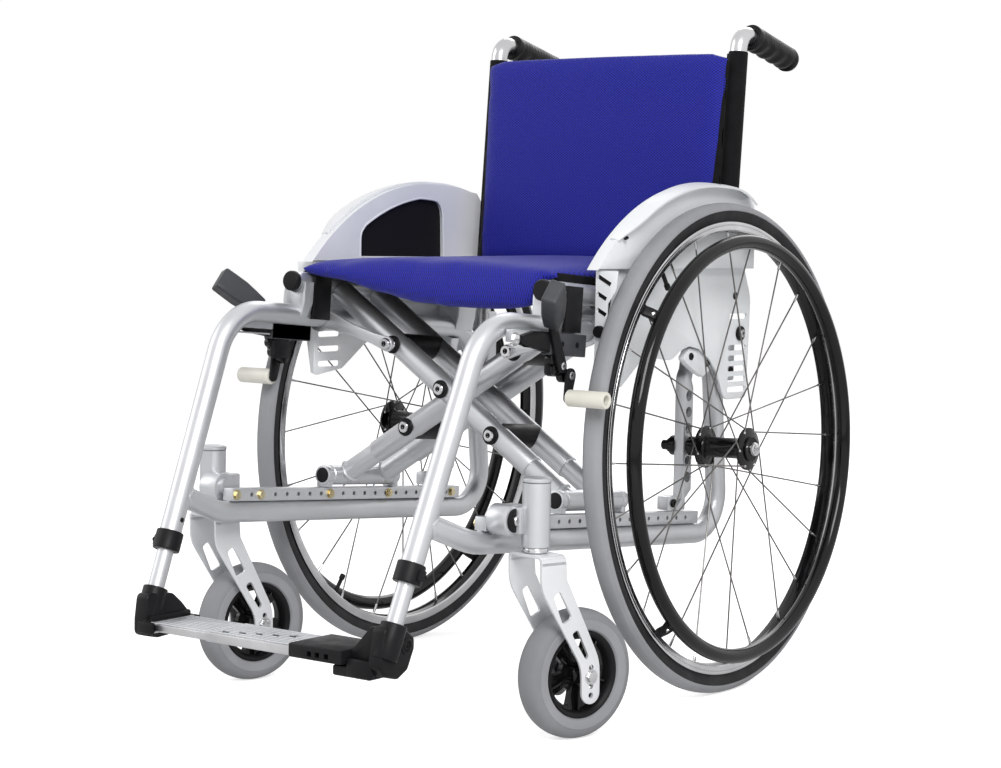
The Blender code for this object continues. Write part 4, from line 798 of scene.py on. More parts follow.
def caster_fork(side):
    lay = caster_frame(side)
    end = 0.0126
    outline = [(-0.0145, 0.205), (-0.0138, 0.173), (0.0445, 0.083)]
    outline += arc((CASTER_TRAIL, 0.0417 + end), end, 180, 360, 16)
    outline += [(0.07, 0.089), (0.022, 0.181), (0.02, 0.205)]
    outline = soft_corners(outline, 0.012, (1, 2, 19, 20))
    window = rounded([(0.003, 0.164), (0.0113, 0.17), (0.03, 0.139), (0.0165, 0.1325)], 0.004)
    slot = rounded([(0.0293, 0.1215), (0.0376, 0.126), (0.054, 0.095), (0.05, 0.091)], 0.004)
    cutters = [slab(hole, 0.08, lay @ across(0)) for hole in (window, slot)]
    for z in (0.0822, 0.0617, 0.0515):
        ends = [lay @ Vector((x, CASTER_TRAIL, z)) for x in (-0.04, 0.04)]
        cutters.append(rod(*ends, 0.0032, 24))
    parts = []
    for x in (-0.02725, 0.02725):
        cheek = slab(outline, 0.0035, lay @ across(x), 0.0007)
        parts.append((cut(cheek, cutters), "pale"))
    bridge = [(-0.029, 0.198)] + arc((-0.0215, 0.2009), 0.0075, 180, 90, 6)
    bridge += arc((0.0215, 0.2009), 0.0075, 90, 0, 6)
    bridge += [(0.029, 0.198), (0.0255, 0.198)] + arc((0.0213, 0.2007), 0.0042, 0, 90, 5)
    bridge += arc((-0.0213, 0.2007), 0.0042, 90, 180, 5) + [(-0.0255, 0.198)]
    crown = slab(bridge, 0.0345, lay @ Matrix.Translation((0, 0.00275, 0)) @ UPRIGHT, 0.0006)
    parts.append((crown, "pale"))
    low, high = lay @ Vector((0, 0, 0.206)), lay @ Vector((0, 0, 0.279))
    parts.append((rod(low, high, 0.006, 32), "steel"))
    axle = [lay @ Vector((x, CASTER_TRAIL, CASTER_RADIUS)) for x in (-0.0295, 0.0295)]
    parts.append((rod(axle[0], axle[1], 0.0034, 24), "steel"))
    for start, way in ((axle[0], -1), (axle[1], 1)):
        direction = lay.to_3x3() @ Vector((way, 0, 0))
        parts += hex_head(start - direction * 0.0004, direction, 0.0062, 0.0038, "steel")
    side_piece(side, "fork", "caster", parts, "caster_fork")


def caster_housing(side, sign):
    stem = joint_place(side + "_caster_swivel")
    column = aligned((stem.x, stem.y, 0.0), (0, 0, 1), (0, 1, 0))
    profile = [
        (0.0064, 0.2088), (0.0118, 0.2088), (0.0124, 0.2094), (0.0124, 0.214), (0.0148, 0.215),
        (0.0155, 0.2158), (0.0155, 0.2852), (0.016, 0.2858), (0.0163, 0.2868), (0.0162, 0.2884),
        (0.015, 0.2898), (0.0125, 0.2905), (0.0, 0.2905),
    ]
    parts = [(turned(profile, column, 56, False), "silver")]
    collar = [
        (0.012, 0.21), (0.0136, 0.21), (0.014, 0.2106), (0.014, 0.2136), (0.0136, 0.2142),
        (0.012, 0.2142),
    ]
    parts.append((turned(collar, column, 56), "chrome"))
    groove = [(0.01545, 0.2846), (0.01562, 0.2846), (0.01562, 0.2852), (0.01545, 0.2852)]
    parts.append((turned(groove, column, 56), "black"))
    face, y, z = SIDE_X + TUBE + GAP, -0.408, 0.244
    parts.append((cross_rod(sign, face, 0.225, y, z, 0.0172, 48, 0.0012), "silver"))
    parts.append((cross_rod(sign, 0.1943, 0.201, y, z + 0.002, 0.0105), "silver"))
    parts.append((cross_rod(sign, 0.2245, 0.2278, y, z, 0.013, 40, 0.0008), "black"))
    parts += socket_screw((sign * 0.227, y, z), (sign, 0, 0), 0.0058, 0.0036)
    web = side_block(sign, face + 0.0004, 0.233, (y, 0.229), (-0.3805, 0.259), 0.002)
    parts.append((web, "silver"))
    side_piece(side, "stem_housing", "side", parts, "caster_housing")


# Side frames


def side_frame(side, sign):
    x = sign * SIDE_X
    knee = leg_point(sign, knee_height())
    loop = bent_path(
        [
            leg_point(sign, 0.1905),
            knee,
            rail_point(x, 0.048, TOP_B),
            rail_point(x, 0.0913, LOWER_B),
            rail_point(x, -0.349, LOWER_B),
        ],
        [0.07, 0.065, 0.048],
    )
    weld = leg_point(sign, 0.2455)
    front = bent_path([rail_point(x, -0.344, LOWER_B), rail_point(x, -0.424, LOWER_B), weld], [0.1])
    parts = [(swept(loop, TUBE), "silver"), (swept(front, TUBE), "silver")]
    run = (weld - rail_point(x, -0.424, LOWER_B)).normalized()
    leg = (leg_point(sign, 0.3) - leg_point(sign, 0.2)).normalized()
    parts.append((weld_bead(weld, run, leg, TUBE), "weld"))
    hole = leg_point(sign, 0.2185)
    inner = Vector((-sign, 0.05, 0.0)).normalized()
    parts.append((rod(hole + inner * 0.012, hole + inner * 0.01285, 0.003, 20), "black"))
    parts += cradle(sign, -0.008, 0.029, "silver")
    side_piece(side, "tube_frame", "side", parts, "side_frame")


def weld_bead(place, run, leg, radius):
    """A seam where one tube meets another."""
    square = run.cross(leg).normalized()
    up = square.cross(run).normalized()
    points = []
    for i in range(49):
        angle = 2 * math.pi * i / 48
        side_way, up_way = math.cos(angle) * radius, math.sin(angle) * radius
        reach = math.sqrt(max(0.0, radius * radius - side_way * side_way))
        points.append(place - run * (reach + 0.0006) + square * side_way + up * up_way)
    return swept(points, 0.0018, 8)


def cradle(sign, a_start, a_end, finish):
    """The block that cups the seat rail on the top tube."""
    x = sign * SIDE_X
    half = SEAT_RAIL_RADIUS + 0.0055
    foot, hip = TOP_B - 0.002, TOP_B + 0.016
    outline = [(x - half + 0.004, foot), (x + half - 0.004, foot), (x + half, hip)]
    outline += [(x + half, SEAT_RAIL_B)] + arc((x, SEAT_RAIL_B), SEAT_RAIL_RADIUS + 0.0008, 0, -180, 20)
    outline += [(x - half, SEAT_RAIL_B), (x - half, hip)]
    return [(slab(outline, a_end - a_start, along_rail((a_start + a_end) / 2), 0.0012), finish)]


def seat_cradle(side, sign):
    """The front cradle: a pale block in front of a black strap that drops past the top tube."""
    parts = cradle(sign, -0.316, -0.3, "silver")
    x = sign * SIDE_X
    half, cup, loop = SEAT_RAIL_RADIUS + 0.006, SEAT_RAIL_RADIUS + 0.0008, TUBE + 0.0006
    crest, foot = SEAT_RAIL_B + 0.007, TOP_B - 0.004
    outline = [(x - half, foot), (x - half, crest), (x - cup, crest)]
    outline += arc((x, SEAT_RAIL_B), cup, 180, 360, 20)
    outline += [(x + cup, crest), (x + half, crest), (x + half, foot), (x + loop, foot)]
    outline += arc((x, TOP_B), loop, -18, 198, 24) + [(x - loop, foot)]
    parts.append((slab(outline, 0.031, along_rail(-0.2835), 0.001), "black"))
    side_piece(side, "rail_cradle", "side", parts, "seat_cradle")


def hole_rail(side, sign):
    x = sign * SIDE_X
    low = LOWER_B + TUBE + GAP
    middle = low + RAIL_DEPTH / 2
    bar = block((x - 0.008, low, -0.03), (x + 0.008, low + RAIL_DEPTH, 0.411), along_rail(0.0), 0.0012)
    core = block((x - 0.002, low + 0.002, -0.029), (x + 0.002, low + 0.0135, 0.41), along_rail(0.0))
    holes = [rail_point(0, -0.399 + 0.021 * i, middle) for i in range(RAIL_HOLES)]
    cutters = [rod((x - 0.02, *hole.yz), (x + 0.02, *hole.yz), 0.0026, 20) for hole in holes]
    parts = [(cut(bar, cutters), "silver"), (core, "black")]
    for a in (-0.404, -0.362, -0.235, -0.12, 0.012):
        head = rail_point(0, a, middle)
        parts += hex_head((x - sign * 0.0078, head.y, head.z), (-sign, 0, 0), 0.0046, 0.004)
    side_piece(side, "drilled_rail", "side", parts, "hole_rail")


def axle_bar(side, sign):
    """The upright bar with its row of axle holes, the arched bracket at its top and its foot block."""
    middle_x = 0.184
    top = rail_point(0, -0.011, TOP_B - TUBE - 0.0012)
    foot = rail_point(0, -0.012, RAIL_TOP_B)
    outline = [
        (foot.y - 0.006, foot.z + 0.0008), (foot.y + 0.015, foot.z), (foot.y + 0.015, 0.23),
        (0.0105, 0.24), (0.0105, 0.366), (0.006, 0.376), (top.y + 0.019, top.z - 0.0008),
        (top.y + 0.002, top.z), (-0.004, 0.39), (-0.0105, 0.38), (-0.0105, 0.242), (-0.011, 0.23),
        (foot.y - 0.006, 0.22),
    ]
    bar = slab(soft_corners(outline, 0.008, (9, 10)), 0.014, across(sign * middle_x), 0.0016)
    cutters, plugs = [], []
    for step in (-2, -1, 0, 1, 2, 3):
        z = HUB_Z + AXLE_PITCH * step
        cutters.append(rod((sign * middle_x - 0.02, 0, z), (sign * middle_x + 0.02, 0, z), 0.0066))
        if step:
            plugs.append((cross_rod(sign, middle_x - 0.006, middle_x + 0.001, 0, z, 0.0065), "grey"))
    parts = [(cut(bar, cutters), "silver")] + plugs
    arch = [
        (-0.042, 0.404), (-0.028, 0.4175), (0.0, 0.414), (0.024, 0.402), (0.024, 0.388), (0.006, 0.38),
        (-0.01, 0.386), (-0.03, 0.396),
    ]
    parts.append((slab(rounded(arch, 0.006), 0.01, across(sign * 0.202), 0.003), "guard"))
    for y, z in ((-0.025, 0.4065), (0.014, 0.397)):
        parts += socket_screw((sign * 0.2068, y, z), (sign, 0, 0), 0.0044, 0.0022, "black")
    low = rail_point(0, -0.045, RAIL_TOP_B).z
    corners = (foot.y - 0.0315, low + 0.0009), (foot.y - 0.0096, low + 0.0175)
    parts.append((side_block(sign, 0.179, 0.195, *corners, 0.0015), "silver"))
    head = (sign * 0.1955, foot.y - 0.021, low + 0.009)
    parts += socket_screw(head, (sign, 0, 0), 0.0052, 0.003, "black")
    side_piece(side, "axle_bar", "side", parts, "axle_plate")


def leg_extension(side, sign):
    tube = rod(leg_point(sign, 0.117), leg_point(sign, 0.261), 0.0095, 40)
    side_piece(side, "leg_extension", "side", [(tube, "silver")], "leg_tube")
    end = leg_point(sign, 0.19)
    lay = aligned(end, leg_point(sign, 0.2455) - end, (1, 0, 0))
    ring = [
        (0.0099, -0.006), (0.0148, -0.006), (0.0156, -0.005), (0.0156, 0.015), (0.015, 0.016),
        (0.013, 0.016), (0.013, -GAP), (0.0099, -GAP),
    ]
    parts = [(turned(ring, lay, 56), "black")]
    if (lay @ Vector((0, -1, 0)) - end).y > 0:
        lay = lay @ Matrix.Rotation(math.pi, 4, "Z")
    parts.append((block((-0.0048, -0.019, -0.0015), (0.0048, -0.014, 0.011), lay, 0.0012), "black"))
    across_lug = lay.to_3x3() @ Vector((1, 0, 0))
    parts += socket_screw(lay @ Vector((0.0044, -0.0166, 0.0048)), across_lug, 0.003, 0.0016, "black")
    side_piece(side, "clamp_collar", "side", parts, "height_clamp")


# Footrest


def foot_casting(side, sign):
    """The holder at the foot of the leg: an ear, a socket, and a tray or a hinge for the board."""
    ears = {
        1: [(-0.566, 0.143), (-0.54, 0.143), (-0.517, 0.127), (-0.517, 0.115), (-0.5275, 0.0936),
            (-0.5439, 0.0855), (-0.5654, 0.0909), (-0.5745, 0.101)],
        -1: [(-0.572, 0.1411), (-0.53, 0.137), (-0.5155, 0.1252), (-0.496, 0.1045), (-0.497, 0.093),
             (-0.553, 0.0888), (-0.576, 0.094), (-0.576, 0.112)],
    }
    socket = rod(leg_point(sign, 0.116), leg_point(sign, 0.16), 0.0099)
    shell = slab(rounded(ears[sign], 0.008), 0.018, across(sign * 0.1695), 0.003, 3)
    barrel = rod(leg_point(sign, 0.108), leg_point(sign, 0.144), 0.0142, 40, 0.0015)
    parts = [(cut(shell, [socket]), "black"), (cut(barrel, [socket]), "black")]
    hub_y, hub_z = (-0.531, 0.119) if sign > 0 else (-0.53, 0.112)
    face = sign * 0.1785
    bead = arc((0.007, 0.0), 0.0018, 0, 330, 11)
    parts.append((turned(bead, aligned((face, hub_y, hub_z), (sign, 0, 0)), 32), "black"))
    parts += socket_screw((face - sign * 0.0006, hub_y, hub_z), (sign, 0, 0), 0.004, 0.0016, "black")
    if sign > 0:
        gusset = [
            (0.156, 0.1415), (0.172, 0.1415), (0.172, 0.09), (0.115, 0.09), (0.115, 0.104),
            (0.126, 0.108),
        ]
        wall = Matrix(((1, 0, 0, 0), (0, 0, -1, -0.56), (0, 1, 0, 0), (0, 0, 0, 1)))
        parts.append((slab(rounded(gusset, 0.004), 0.009, wall, 0.002), "black"))
        blocks = [
            ((0.112, -0.5725, 0.0862), (0.164, -0.515, 0.0976), 0.0025),
            ((0.132, -0.574, 0.087), (0.166, -0.566, 0.1065), 0.0025),
            ((0.156, -0.566, 0.09), (0.164, -0.52, 0.109), 0.002),
        ]
    else:
        blocks = [
            ((-0.164, -0.584, 0.0985), (-0.142, -0.578, 0.1115), 0.0018),
            ((-0.164, -0.5115, 0.0985), (-0.142, -0.5055, 0.1115), 0.0018),
            ((-0.164, -0.57, 0.093), (-0.157, -0.505, 0.116), 0.0025),
            ((-0.162, -0.578, 0.096), (-0.1545, -0.57, 0.113), 0.002),
        ]
        parts.append((rod((-0.1475, -0.5815, 0.105), (-0.1475, -0.508, 0.105), 0.0028, 20), "steel"))
    parts += [(block(low, high, None, edge), "black") for low, high, edge in blocks]
    side_piece(side, "foot_holder", "side", parts, "foot_casting")


def footboard():
    """Two ribbed plates that slide over each other, a hinge barrel and the black end block."""
    front, rear = -0.5769, -0.5126
    slots = []
    for i in range(5):
        x, y = -0.05 + 0.018 * i, -0.572 + 0.0076 * i
        slots.append(block((x, y, 0.08), (x + 0.0095, y + 0.01, 0.13), None, 0.0025))
    parts = []
    plates = (-0.142, 0.03, 0.101, 0.11, 0.0), (-0.065, 0.062, 0.1002, 0.1108, 0.0008)
    for x_low, x_high, low, high, ahead in plates:
        plate = block((x_low, front - ahead, low), (x_high, rear + ahead, high), None, 0.0012)
        parts.append((cut(plate, slots), "board"))
        for i in range(9):
            y = front + 0.003 + 0.007 * i
            corners = (x_low + 0.0012, y, high - 0.0004), (x_high - 0.0012, y + 0.0036, high + 0.0012)
            parts.append((cut(block(*corners, None, 0.0004, 1), slots), "silver"))
    parts.append((rod((-0.1475, front, 0.105), (-0.1475, rear, 0.105), 0.0065, 32, 0.0006), "board"))
    parts.append((block((-0.1475, front, 0.101), (-0.138, rear, 0.1095), None, 0.001), "board"))
    holder = block((0.057, front - 0.0036, 0.0995), (0.1308, rear + 0.0028, 0.115), None, 0.0025)
    pockets = [
        block((x - 0.003, front - 0.01, 0.1035), (x + 0.003, front + 0.002, 0.109))
        for x in (0.0868, 0.0979, 0.1103)
    ]
    parts.append((cut(holder, pockets), "black"))
    piece("ribbed_board", "foot_plate", parts, ["footboard"])


# Cross brace


FORWARD = rail_point(0, -1, 0) - rail_point(0, 0, 0)


def arm_axis(sign):
    run = Vector((-sign * (PIVOT_X + SIDE_X), SEAT_RAIL_B - PIVOT_B))
    return run.normalized()


def arm_point(sign, reach, a):
    up = arm_axis(sign)
    return rail_point(up.x * reach, a, BRACE_B + up.y * reach)


def cross_arm(side, sign):
    """One brace leaf: two sleeved tubes, the pivot tube at their feet, and two bolted spacers."""
    front, rear = ARM_TUBES[side]
    up = arm_axis(sign)
    low = -(PIVOT_X / abs(up.x))
    high = SIDE_X / abs(up.x) - SEAT_RAIL_RADIUS - GAP
    step = -0.13 / abs(up.x)
    start, end = PIVOT_TUBES[side]
    x = sign * PIVOT_X
    length = end - start
    profile = [
        (0.006, 0.0), (0.0112, 0.0), (0.01225, 0.0012), (0.01225, length - 0.0012), (0.0112, length),
        (0.006, length),
    ]
    lay = aligned(rail_point(x, start, PIVOT_B), -FORWARD, (1, 0, 0))
    parts = [(turned(profile, lay, 40), "silver")]
    bore = rail_rod(x, start - 0.01, end + 0.01, PIVOT_B, 0.0062, 24)
    for a in (front, rear):
        inner = rod(arm_point(sign, low, a), arm_point(sign, step + 0.006, a), 0.0124)
        parts.append((cut(inner, [bore]), "silver"))
        outer = rod(arm_point(sign, step, a), arm_point(sign, high, a), ARM_RADIUS, 36, 0.001)
        parts.append((outer, "silver"))
        along = arm_point(sign, 0, a) - arm_point(sign, low, a)
        lay = aligned(arm_point(sign, low + 0.0118, a), along, (0, 1, 0))
        parts.append((turned([(0.0122, -0.001), (0.0146, -0.0004), (0.0122, 0.0014)], lay, 36), "weld"))
    for reach in (-BOLT_REACH, BOLT_REACH):
        spacer = rod(arm_point(sign, reach, front), arm_point(sign, reach, rear), 0.0145, 36)
        parts.append((spacer, "black"))
        parts += washered_bolt(arm_point(sign, reach, front - 0.0135), FORWARD)
    side_piece(side, "brace_leaf", "leaf", parts, "cross_arm")


def centre_bolt():
    front, rear = ARM_TUBES["left"][0] - ARM_RADIUS, ARM_TUBES["right"][1] + ARM_RADIUS
    parts = [(rail_rod(0, front, rear + 0.003, BRACE_B, 0.004, 24), "steel")]
    parts += washered_bolt(rail_point(0, front - 0.0004, BRACE_B), FORWARD)
    parts += hex_head(rail_point(0, rear + 0.0004, BRACE_B), -FORWARD, 0.0068, 0.0052, "steel")
    piece("brace_bolt", "right_leaf", parts, ["centre_bolt"])


def pivot_pin(side, sign):
    """The rod a leaf turns on, with a collar, a plug and a foot on the rail at each end."""
    start, end = PIVOT_TUBES[side]
    x = sign * PIVOT_X
    parts = [(rail_rod(x, start - 0.003, end + 0.003, PIVOT_B, 0.0054, 24), "steel")]
    for edge, way in ((start, -1), (end, 1)):
        inner, outer = edge + way * GAP, edge + way * 0.0113
        parts.append((rail_rod(x, inner, outer, PIVOT_B, 0.01215, 36, 0.001), "silver"))
        plug = outer - way * 0.0006, outer + way * 0.0006
        parts.append((rail_rod(x, *plug, PIVOT_B, 0.0094, 32, 0.0004), "black"))
        low_a, high_a = sorted((-inner, -outer))
        corners = (x - 0.0094, RAIL_TOP_B, low_a + 0.001), (x + 0.0094, PIVOT_B, high_a - 0.001)
        parts.append((block(*corners, along_rail(0.0), 0.0012), "silver"))
    side_piece(side, "pivot_rod", "side", parts, "pivot_pin")


def seat_rail(side, sign):
    x = sign * SIDE_X
    tube = rail_rod(x, -0.32, 0.028, SEAT_RAIL_B, SEAT_RAIL_RADIUS, 40)
    front = aligned(rail_point(x, -0.318, SEAT_RAIL_B), FORWARD, (1, 0, 0))
    rear = aligned(rail_point(x, 0.027, SEAT_RAIL_B), -FORWARD, (1, 0, 0))
    cap = [(0.0, 0.0), (0.0121, 0.0), (0.0123, 0.001), (0.0121, 0.006), (0.0108, 0.0078), (0.0, 0.008)]
    disc = [(0.0, 0.0), (0.0112, 0.0), (0.0112, 0.0012), (0.0, 0.0012)]
    ends = turned(cap, front, 40, False), turned(disc, rear, 40, False)
    parts = [(tube, "silver")] + [(end, "black") for end in ends]
    piece(side + "_rail_tube", OTHER[side] + "_leaf", parts, [side + "_seat_rail"])


def guide_link(side, sign):
    """The flat link from a ring round the top tube to the bolt on the other side's leaf."""
    x = sign * SIDE_X
    mid_a = ARM_TUBES[OTHER[side]][0] - ARM_RADIUS - 0.0075 - GAP - 0.00225
    start = Vector((x, TOP_B))
    end = arm_axis(-sign) * BOLT_REACH + Vector((0.0, BRACE_B))
    run = (end - start).normalized()
    turn = math.degrees(math.atan2(run.y, run.x))
    beside = Vector((-run.y, run.x)) * 0.0066
    outline = arc(start, TUBE + 0.0055, turn + 35, turn + 325, 36)
    outline += [start + (end - start) * share - beside for share in (0.5, 0.8)]
    outline += arc(end, 0.009, turn - 80, turn + 80, 16)
    outline += [start + (end - start) * share + beside for share in (0.8, 0.5)]
    bore = rail_rod(x, mid_a - 0.01, mid_a + 0.01, TOP_B, TUBE + 0.0005, 40)
    parts = [(cut(slab(outline, 0.0045, along_rail(mid_a), 0.0007), [bore]), "silver")]
    parts += socket_screw(rail_point(end.x, mid_a - 0.0022, end.y), FORWARD, 0.0074, 0.005)
    side_piece(side, "guide_bar", "guide_link", parts, "link")


# Back tubes and grips


def back_tube(side, sign):
    base, corner = post_point(sign, 0.415), post_point(sign, HANDLE_Z)
    way = Vector((0.0, math.cos(DROOP), -math.sin(DROOP)))
    path = bent_path([base, corner, corner + way * 0.128], [0.02], math.radians(4))
    parts = [(swept(path, POST_RADIUS, 32), "steel")]
    clamp = side_block(sign, 0.174, 0.198, (0.076, 0.372), (0.096, 0.445), 0.0025)
    parts.append((clamp, "silver"))
    for z in (0.385, 0.432):
        parts += socket_screw((sign * 0.1978, 0.086, z), (sign, 0, 0), 0.0048, 0.0022, "black")
    side_piece(side, "back_tube", "side", parts, "back_post")


def push_grip(side, sign):
    """A rubber grip: a rounded collar, four finger waves underneath and a ribbed top."""
    corner = post_point(sign, HANDLE_Z)
    way = Vector((0.0, math.cos(DROOP), -math.sin(DROOP)))
    lay = aligned(corner + way * GRIP_START, way, (1, 0, 0))
    down = (lay.to_3x3().inverted() @ Vector((0, 0, -1))).normalized()
    work = bmesh.new()
    rings = 60
    bmesh.ops.create_cone(work, cap_ends=True, segments=40, radius1=1.0, radius2=1.0, depth=1.0)
    long_edges = [e for e in work.edges if abs(e.verts[0].co.z - e.verts[1].co.z) > 0.5]
    bmesh.ops.subdivide_edges(work, edges=long_edges, cuts=rings)
    for vert in work.verts:
        share = vert.co.z + 0.5
        flat = Vector((vert.co.x, vert.co.y, 0.0))
        if flat.length < 0.5:
            vert.co = Vector((0, 0, share * GRIP_LENGTH))
            continue
        under = max(0.0, flat.normalized().dot(down))
        over = max(0.0, -flat.normalized().dot(down))
        radius = 0.0162 - 0.0008 * share
        if share < 0.07:
            radius = 0.0168
        elif share > 0.93:
            radius = 0.0162 - 0.05 * (share - 0.93) ** 1.2
        else:
            waves = 0.5 - 0.5 * math.cos(2 * math.pi * (share - 0.07) / 0.86 * 4)
            radius -= 0.0032 * (1 - waves) * under
            radius += 0.0006 * over * (1 if math.sin(2 * math.pi * share * 15) > 0 else 0)
        vert.co = flat.normalized() * radius + Vector((0, 0, share * GRIP_LENGTH))
    soften(work, [e for e in work.edges if any(len(f.verts) > 4 for f in e.link_faces)], 0.0016)
    bmesh.ops.recalc_face_normals(work, faces=work.faces)
    bmesh.ops.transform(work, matrix=lay, verts=work.verts)
    ends = [lay @ Vector((0, 0, z)) for z in (-0.01, GRIP_LENGTH - 0.0035)]
    bore = rod(*ends, POST_RADIUS + GAP, 32)
    parts = [(cut(mesh_of(work), [bore]), "black")]
    side_piece(side, "rubber_grip", "side", parts, "push_grip", 50)


# Guards


def fender_arc(start_y, end_y, inset, steps=40):
    points = []
    for i in range(steps + 1):
        y = start_y + (end_y - start_y) * i / steps
        share = min(1.0, max(0.0, -y / 0.275))
        radius = 0.32 + 0.014 * share - inset
        points.append((y, HUB_Z + math.sqrt(radius * radius - y * y)))
    return points


def fender(side, sign):
    outline = fender_arc(-0.25, 0.07, 0.003)
    outline += soft_corners([(0.085, 0.604), (0.0985, 0.59), (0.099, 0.513)], 0.012, (1,))
    outline += [(-0.248, 0.513)]
    shell = slab(outline, 0.0155, across(sign * 0.21225), 0.0074, 6)
    arch = [(y, HUB_Z + math.sqrt(0.3005 ** 2 - y * y)) for y in (-0.148 + 0.01 * i for i in range(12))]
    recess = [(-0.158, 0.517), (-0.158, 0.548)] + arch + [(0.011, 0.5925), (0.014, 0.517)]
    recess = soft_corners(recess, 0.022, (14,))
    recess = soft_corners(recess, 0.01, (1,))
    hollow = slab(recess, 0.012, across(sign * 0.2045))
    parts = [(cut(shell, [hollow]), "guard")]
    parts.append((slab(recess, 0.0006, across(sign * 0.21)), "black_mesh"))
    rim_path = [Vector((sign * 0.2052, y, z)) for y, z in recess]
    parts.append((swept(rim_path + rim_path[:1], 0.0016, 8), "guard"))
    parts.append((fender_lip(sign), "guard"))
    for y, z in ((-0.1997, 0.549), (0.0018, 0.616)):
        up = Vector((0.0, y, z - HUB_Z)).normalized()
        parts += socket_screw((sign * 0.224, y, z - 0.0012), up, 0.003, 0.0014, "black")
    side_piece(side, "arm_guard", "side", parts, "fender", 30)


def fender_lip(sign):
    """The curved strip over the tyre, which dips towards its outer edge."""
    work = bmesh.new()
    rows = []
    across_steps = 8
    for y, z in fender_arc(-0.215, 0.083, 0.0, 60):
        outward = Vector((0.0, y, z - HUB_Z)).normalized()
        row = []
        for k in range(across_steps + 1):
            share = k / across_steps
            droop = max(0.0, (y - 0.03) / 0.053)
            fall = (0.0035 + 0.01 * droop ** 2) * share ** 2
            wide = min(1.0, max(0.0, (y + 0.23) / 0.06))
            x = 0.212 + 0.0225 * share * (0.12 + 0.88 * math.sin(wide * math.pi / 2))
            row.append(work.verts.new(Vector((sign * x, y, z)) - outward * (fall + 0.0002)))
        rows.append(row)
    for low, high in zip(rows, rows[1:]):
        for k in range(across_steps):
            work.faces.new((low[k], low[k + 1], high[k + 1], high[k]))
    bmesh.ops.recalc_face_normals(work, faces=work.faces)
    if sum(f.normal.z for f in work.faces) < 0:
        bmesh.ops.reverse_faces(work, faces=work.faces)
    bmesh.ops.solidify(work, geom=work.faces[:], thickness=0.0026)
    return mesh_of(work)


def guard_panel(side, sign):
    top = 0.5127
    outline = [
        (-0.2354, top), (-0.24, 0.369), (-0.1847, 0.377), (-0.1352, 0.4108), (-0.0769, 0.403),
        (-0.056, 0.415), (-0.0357, 0.4195), (-0.012, 0.415), (0.0093, 0.4035), (0.0292, 0.3855),
        (0.049, 0.3505), (0.102, 0.3505), (0.107, 0.477), (0.09, top),
    ]
    outline = soft_corners(outline, 0.01, (1, 3, 4, 10, 11, 12))
    sheet = slab(outline, 0.003, across(sign * 0.2105), 0.0006)
    cutters = []
    for i in range(3):
        z = 0.38 + 0.0187 * i
        cutters.append(slot_hole(sign, -0.232, -0.19, z, z + 0.0074))
    for i in range(8):
        z = 0.359 + 0.013 * i
        if not 0.421 < z + 0.003 < 0.444:
            cutters.append(slot_hole(sign, 0.055, 0.099, z, z + 0.007))
    parts = [(cut(sheet, cutters), "guard")] + front_flange(sign)
    tube_z = rail_point(0, -0.185, TOP_B).z
    knobs = (
        (0.1983, 0.2095, 0.086, 0.4322, 0.0068, 0.0008),
        (0.2116, 0.216, 0.081, 0.4322, 0.0092, 0.0012),
        (0.199, 0.2095, -0.185, tube_z, 0.0058, 0.0008),
    )
    parts += [(cross_rod(sign, *ends, radius, 28, edge), "black") for *ends, radius, edge in knobs]
    ends = [(sign * 0.217, y, 0.442) for y in (-0.238, -0.244)]
    parts.append((rod(*ends, 0.007, 28, 0.001), "black"))
    out = (sign, 0, 0)
    parts += socket_screw((sign * 0.2158, 0.081, 0.4322), out, 0.0052, 0.0024)
    parts += socket_screw((sign * 0.2118, -0.185, tube_z), out, 0.0058, 0.0036, "black")
    parts += socket_screw((sign * 0.2118, 0.068, 0.479), out, 0.0046, 0.0024, "black")
    parts += hex_head((sign * 0.2092, -0.16, 0.426), (-sign, 0, 0), 0.0046, 0.0034)
    side_piece(side, "side_panel", "side", parts, "guard_panel")


def front_flange(sign):
    """The panel's front edge, bent outwards towards the tyre and slotted aslant, with a black sheet behind
    the slots as painted shade.
    """
    edge_y = -0.2376
    lay = Matrix(((1, 0, 0, 0), (0, 0, -1, edge_y), (0, 1, 0, 0), (0, 0, 0, 1)))
    front = (
        (0.2092, 0.3725), (0.215, 0.3725), (0.2262, 0.435), (0.2262, 0.474), (0.237, 0.49),
        (0.239, 0.511), (0.2092, 0.511),
    )
    behind = (0.212, 0.45), (0.224, 0.456), (0.233, 0.5), (0.233, 0.508), (0.212, 0.508)
    cutters = []
    for z, reach in ((0.5, 0.01), (0.482, 0.007), (0.464, 0.007)):
        middle = Matrix.Translation((sign * (0.211 + reach), edge_y, z))
        aslant = middle @ Matrix.Rotation(sign * math.radians(28), 4, "Y")
        cutters.append(block((-reach, -0.01, -0.0027), (reach, 0.01, 0.0027), aslant))
    sheet = slab([(sign * x, z) for x, z in front], 0.0026, lay, 0.0008)
    # A thin black sheet just behind the slots: painted shade, so the slots read dark like openings onto
    # the shaded groove behind the flange.
    painted_shade_sheet = slab([(sign * x, z) for x, z in behind], 0.0008, Matrix.Translation((0, 0.0022, 0)) @ lay)
    return [(cut(sheet, cutters), "guard"), (painted_shade_sheet, "black")]


def slot_hole(sign, y_low, y_high, z_low, z_high):
    return side_block(sign, 0.2, 0.221, (y_low, z_low), (y_high, z_high), 0.0028)


# Brakes


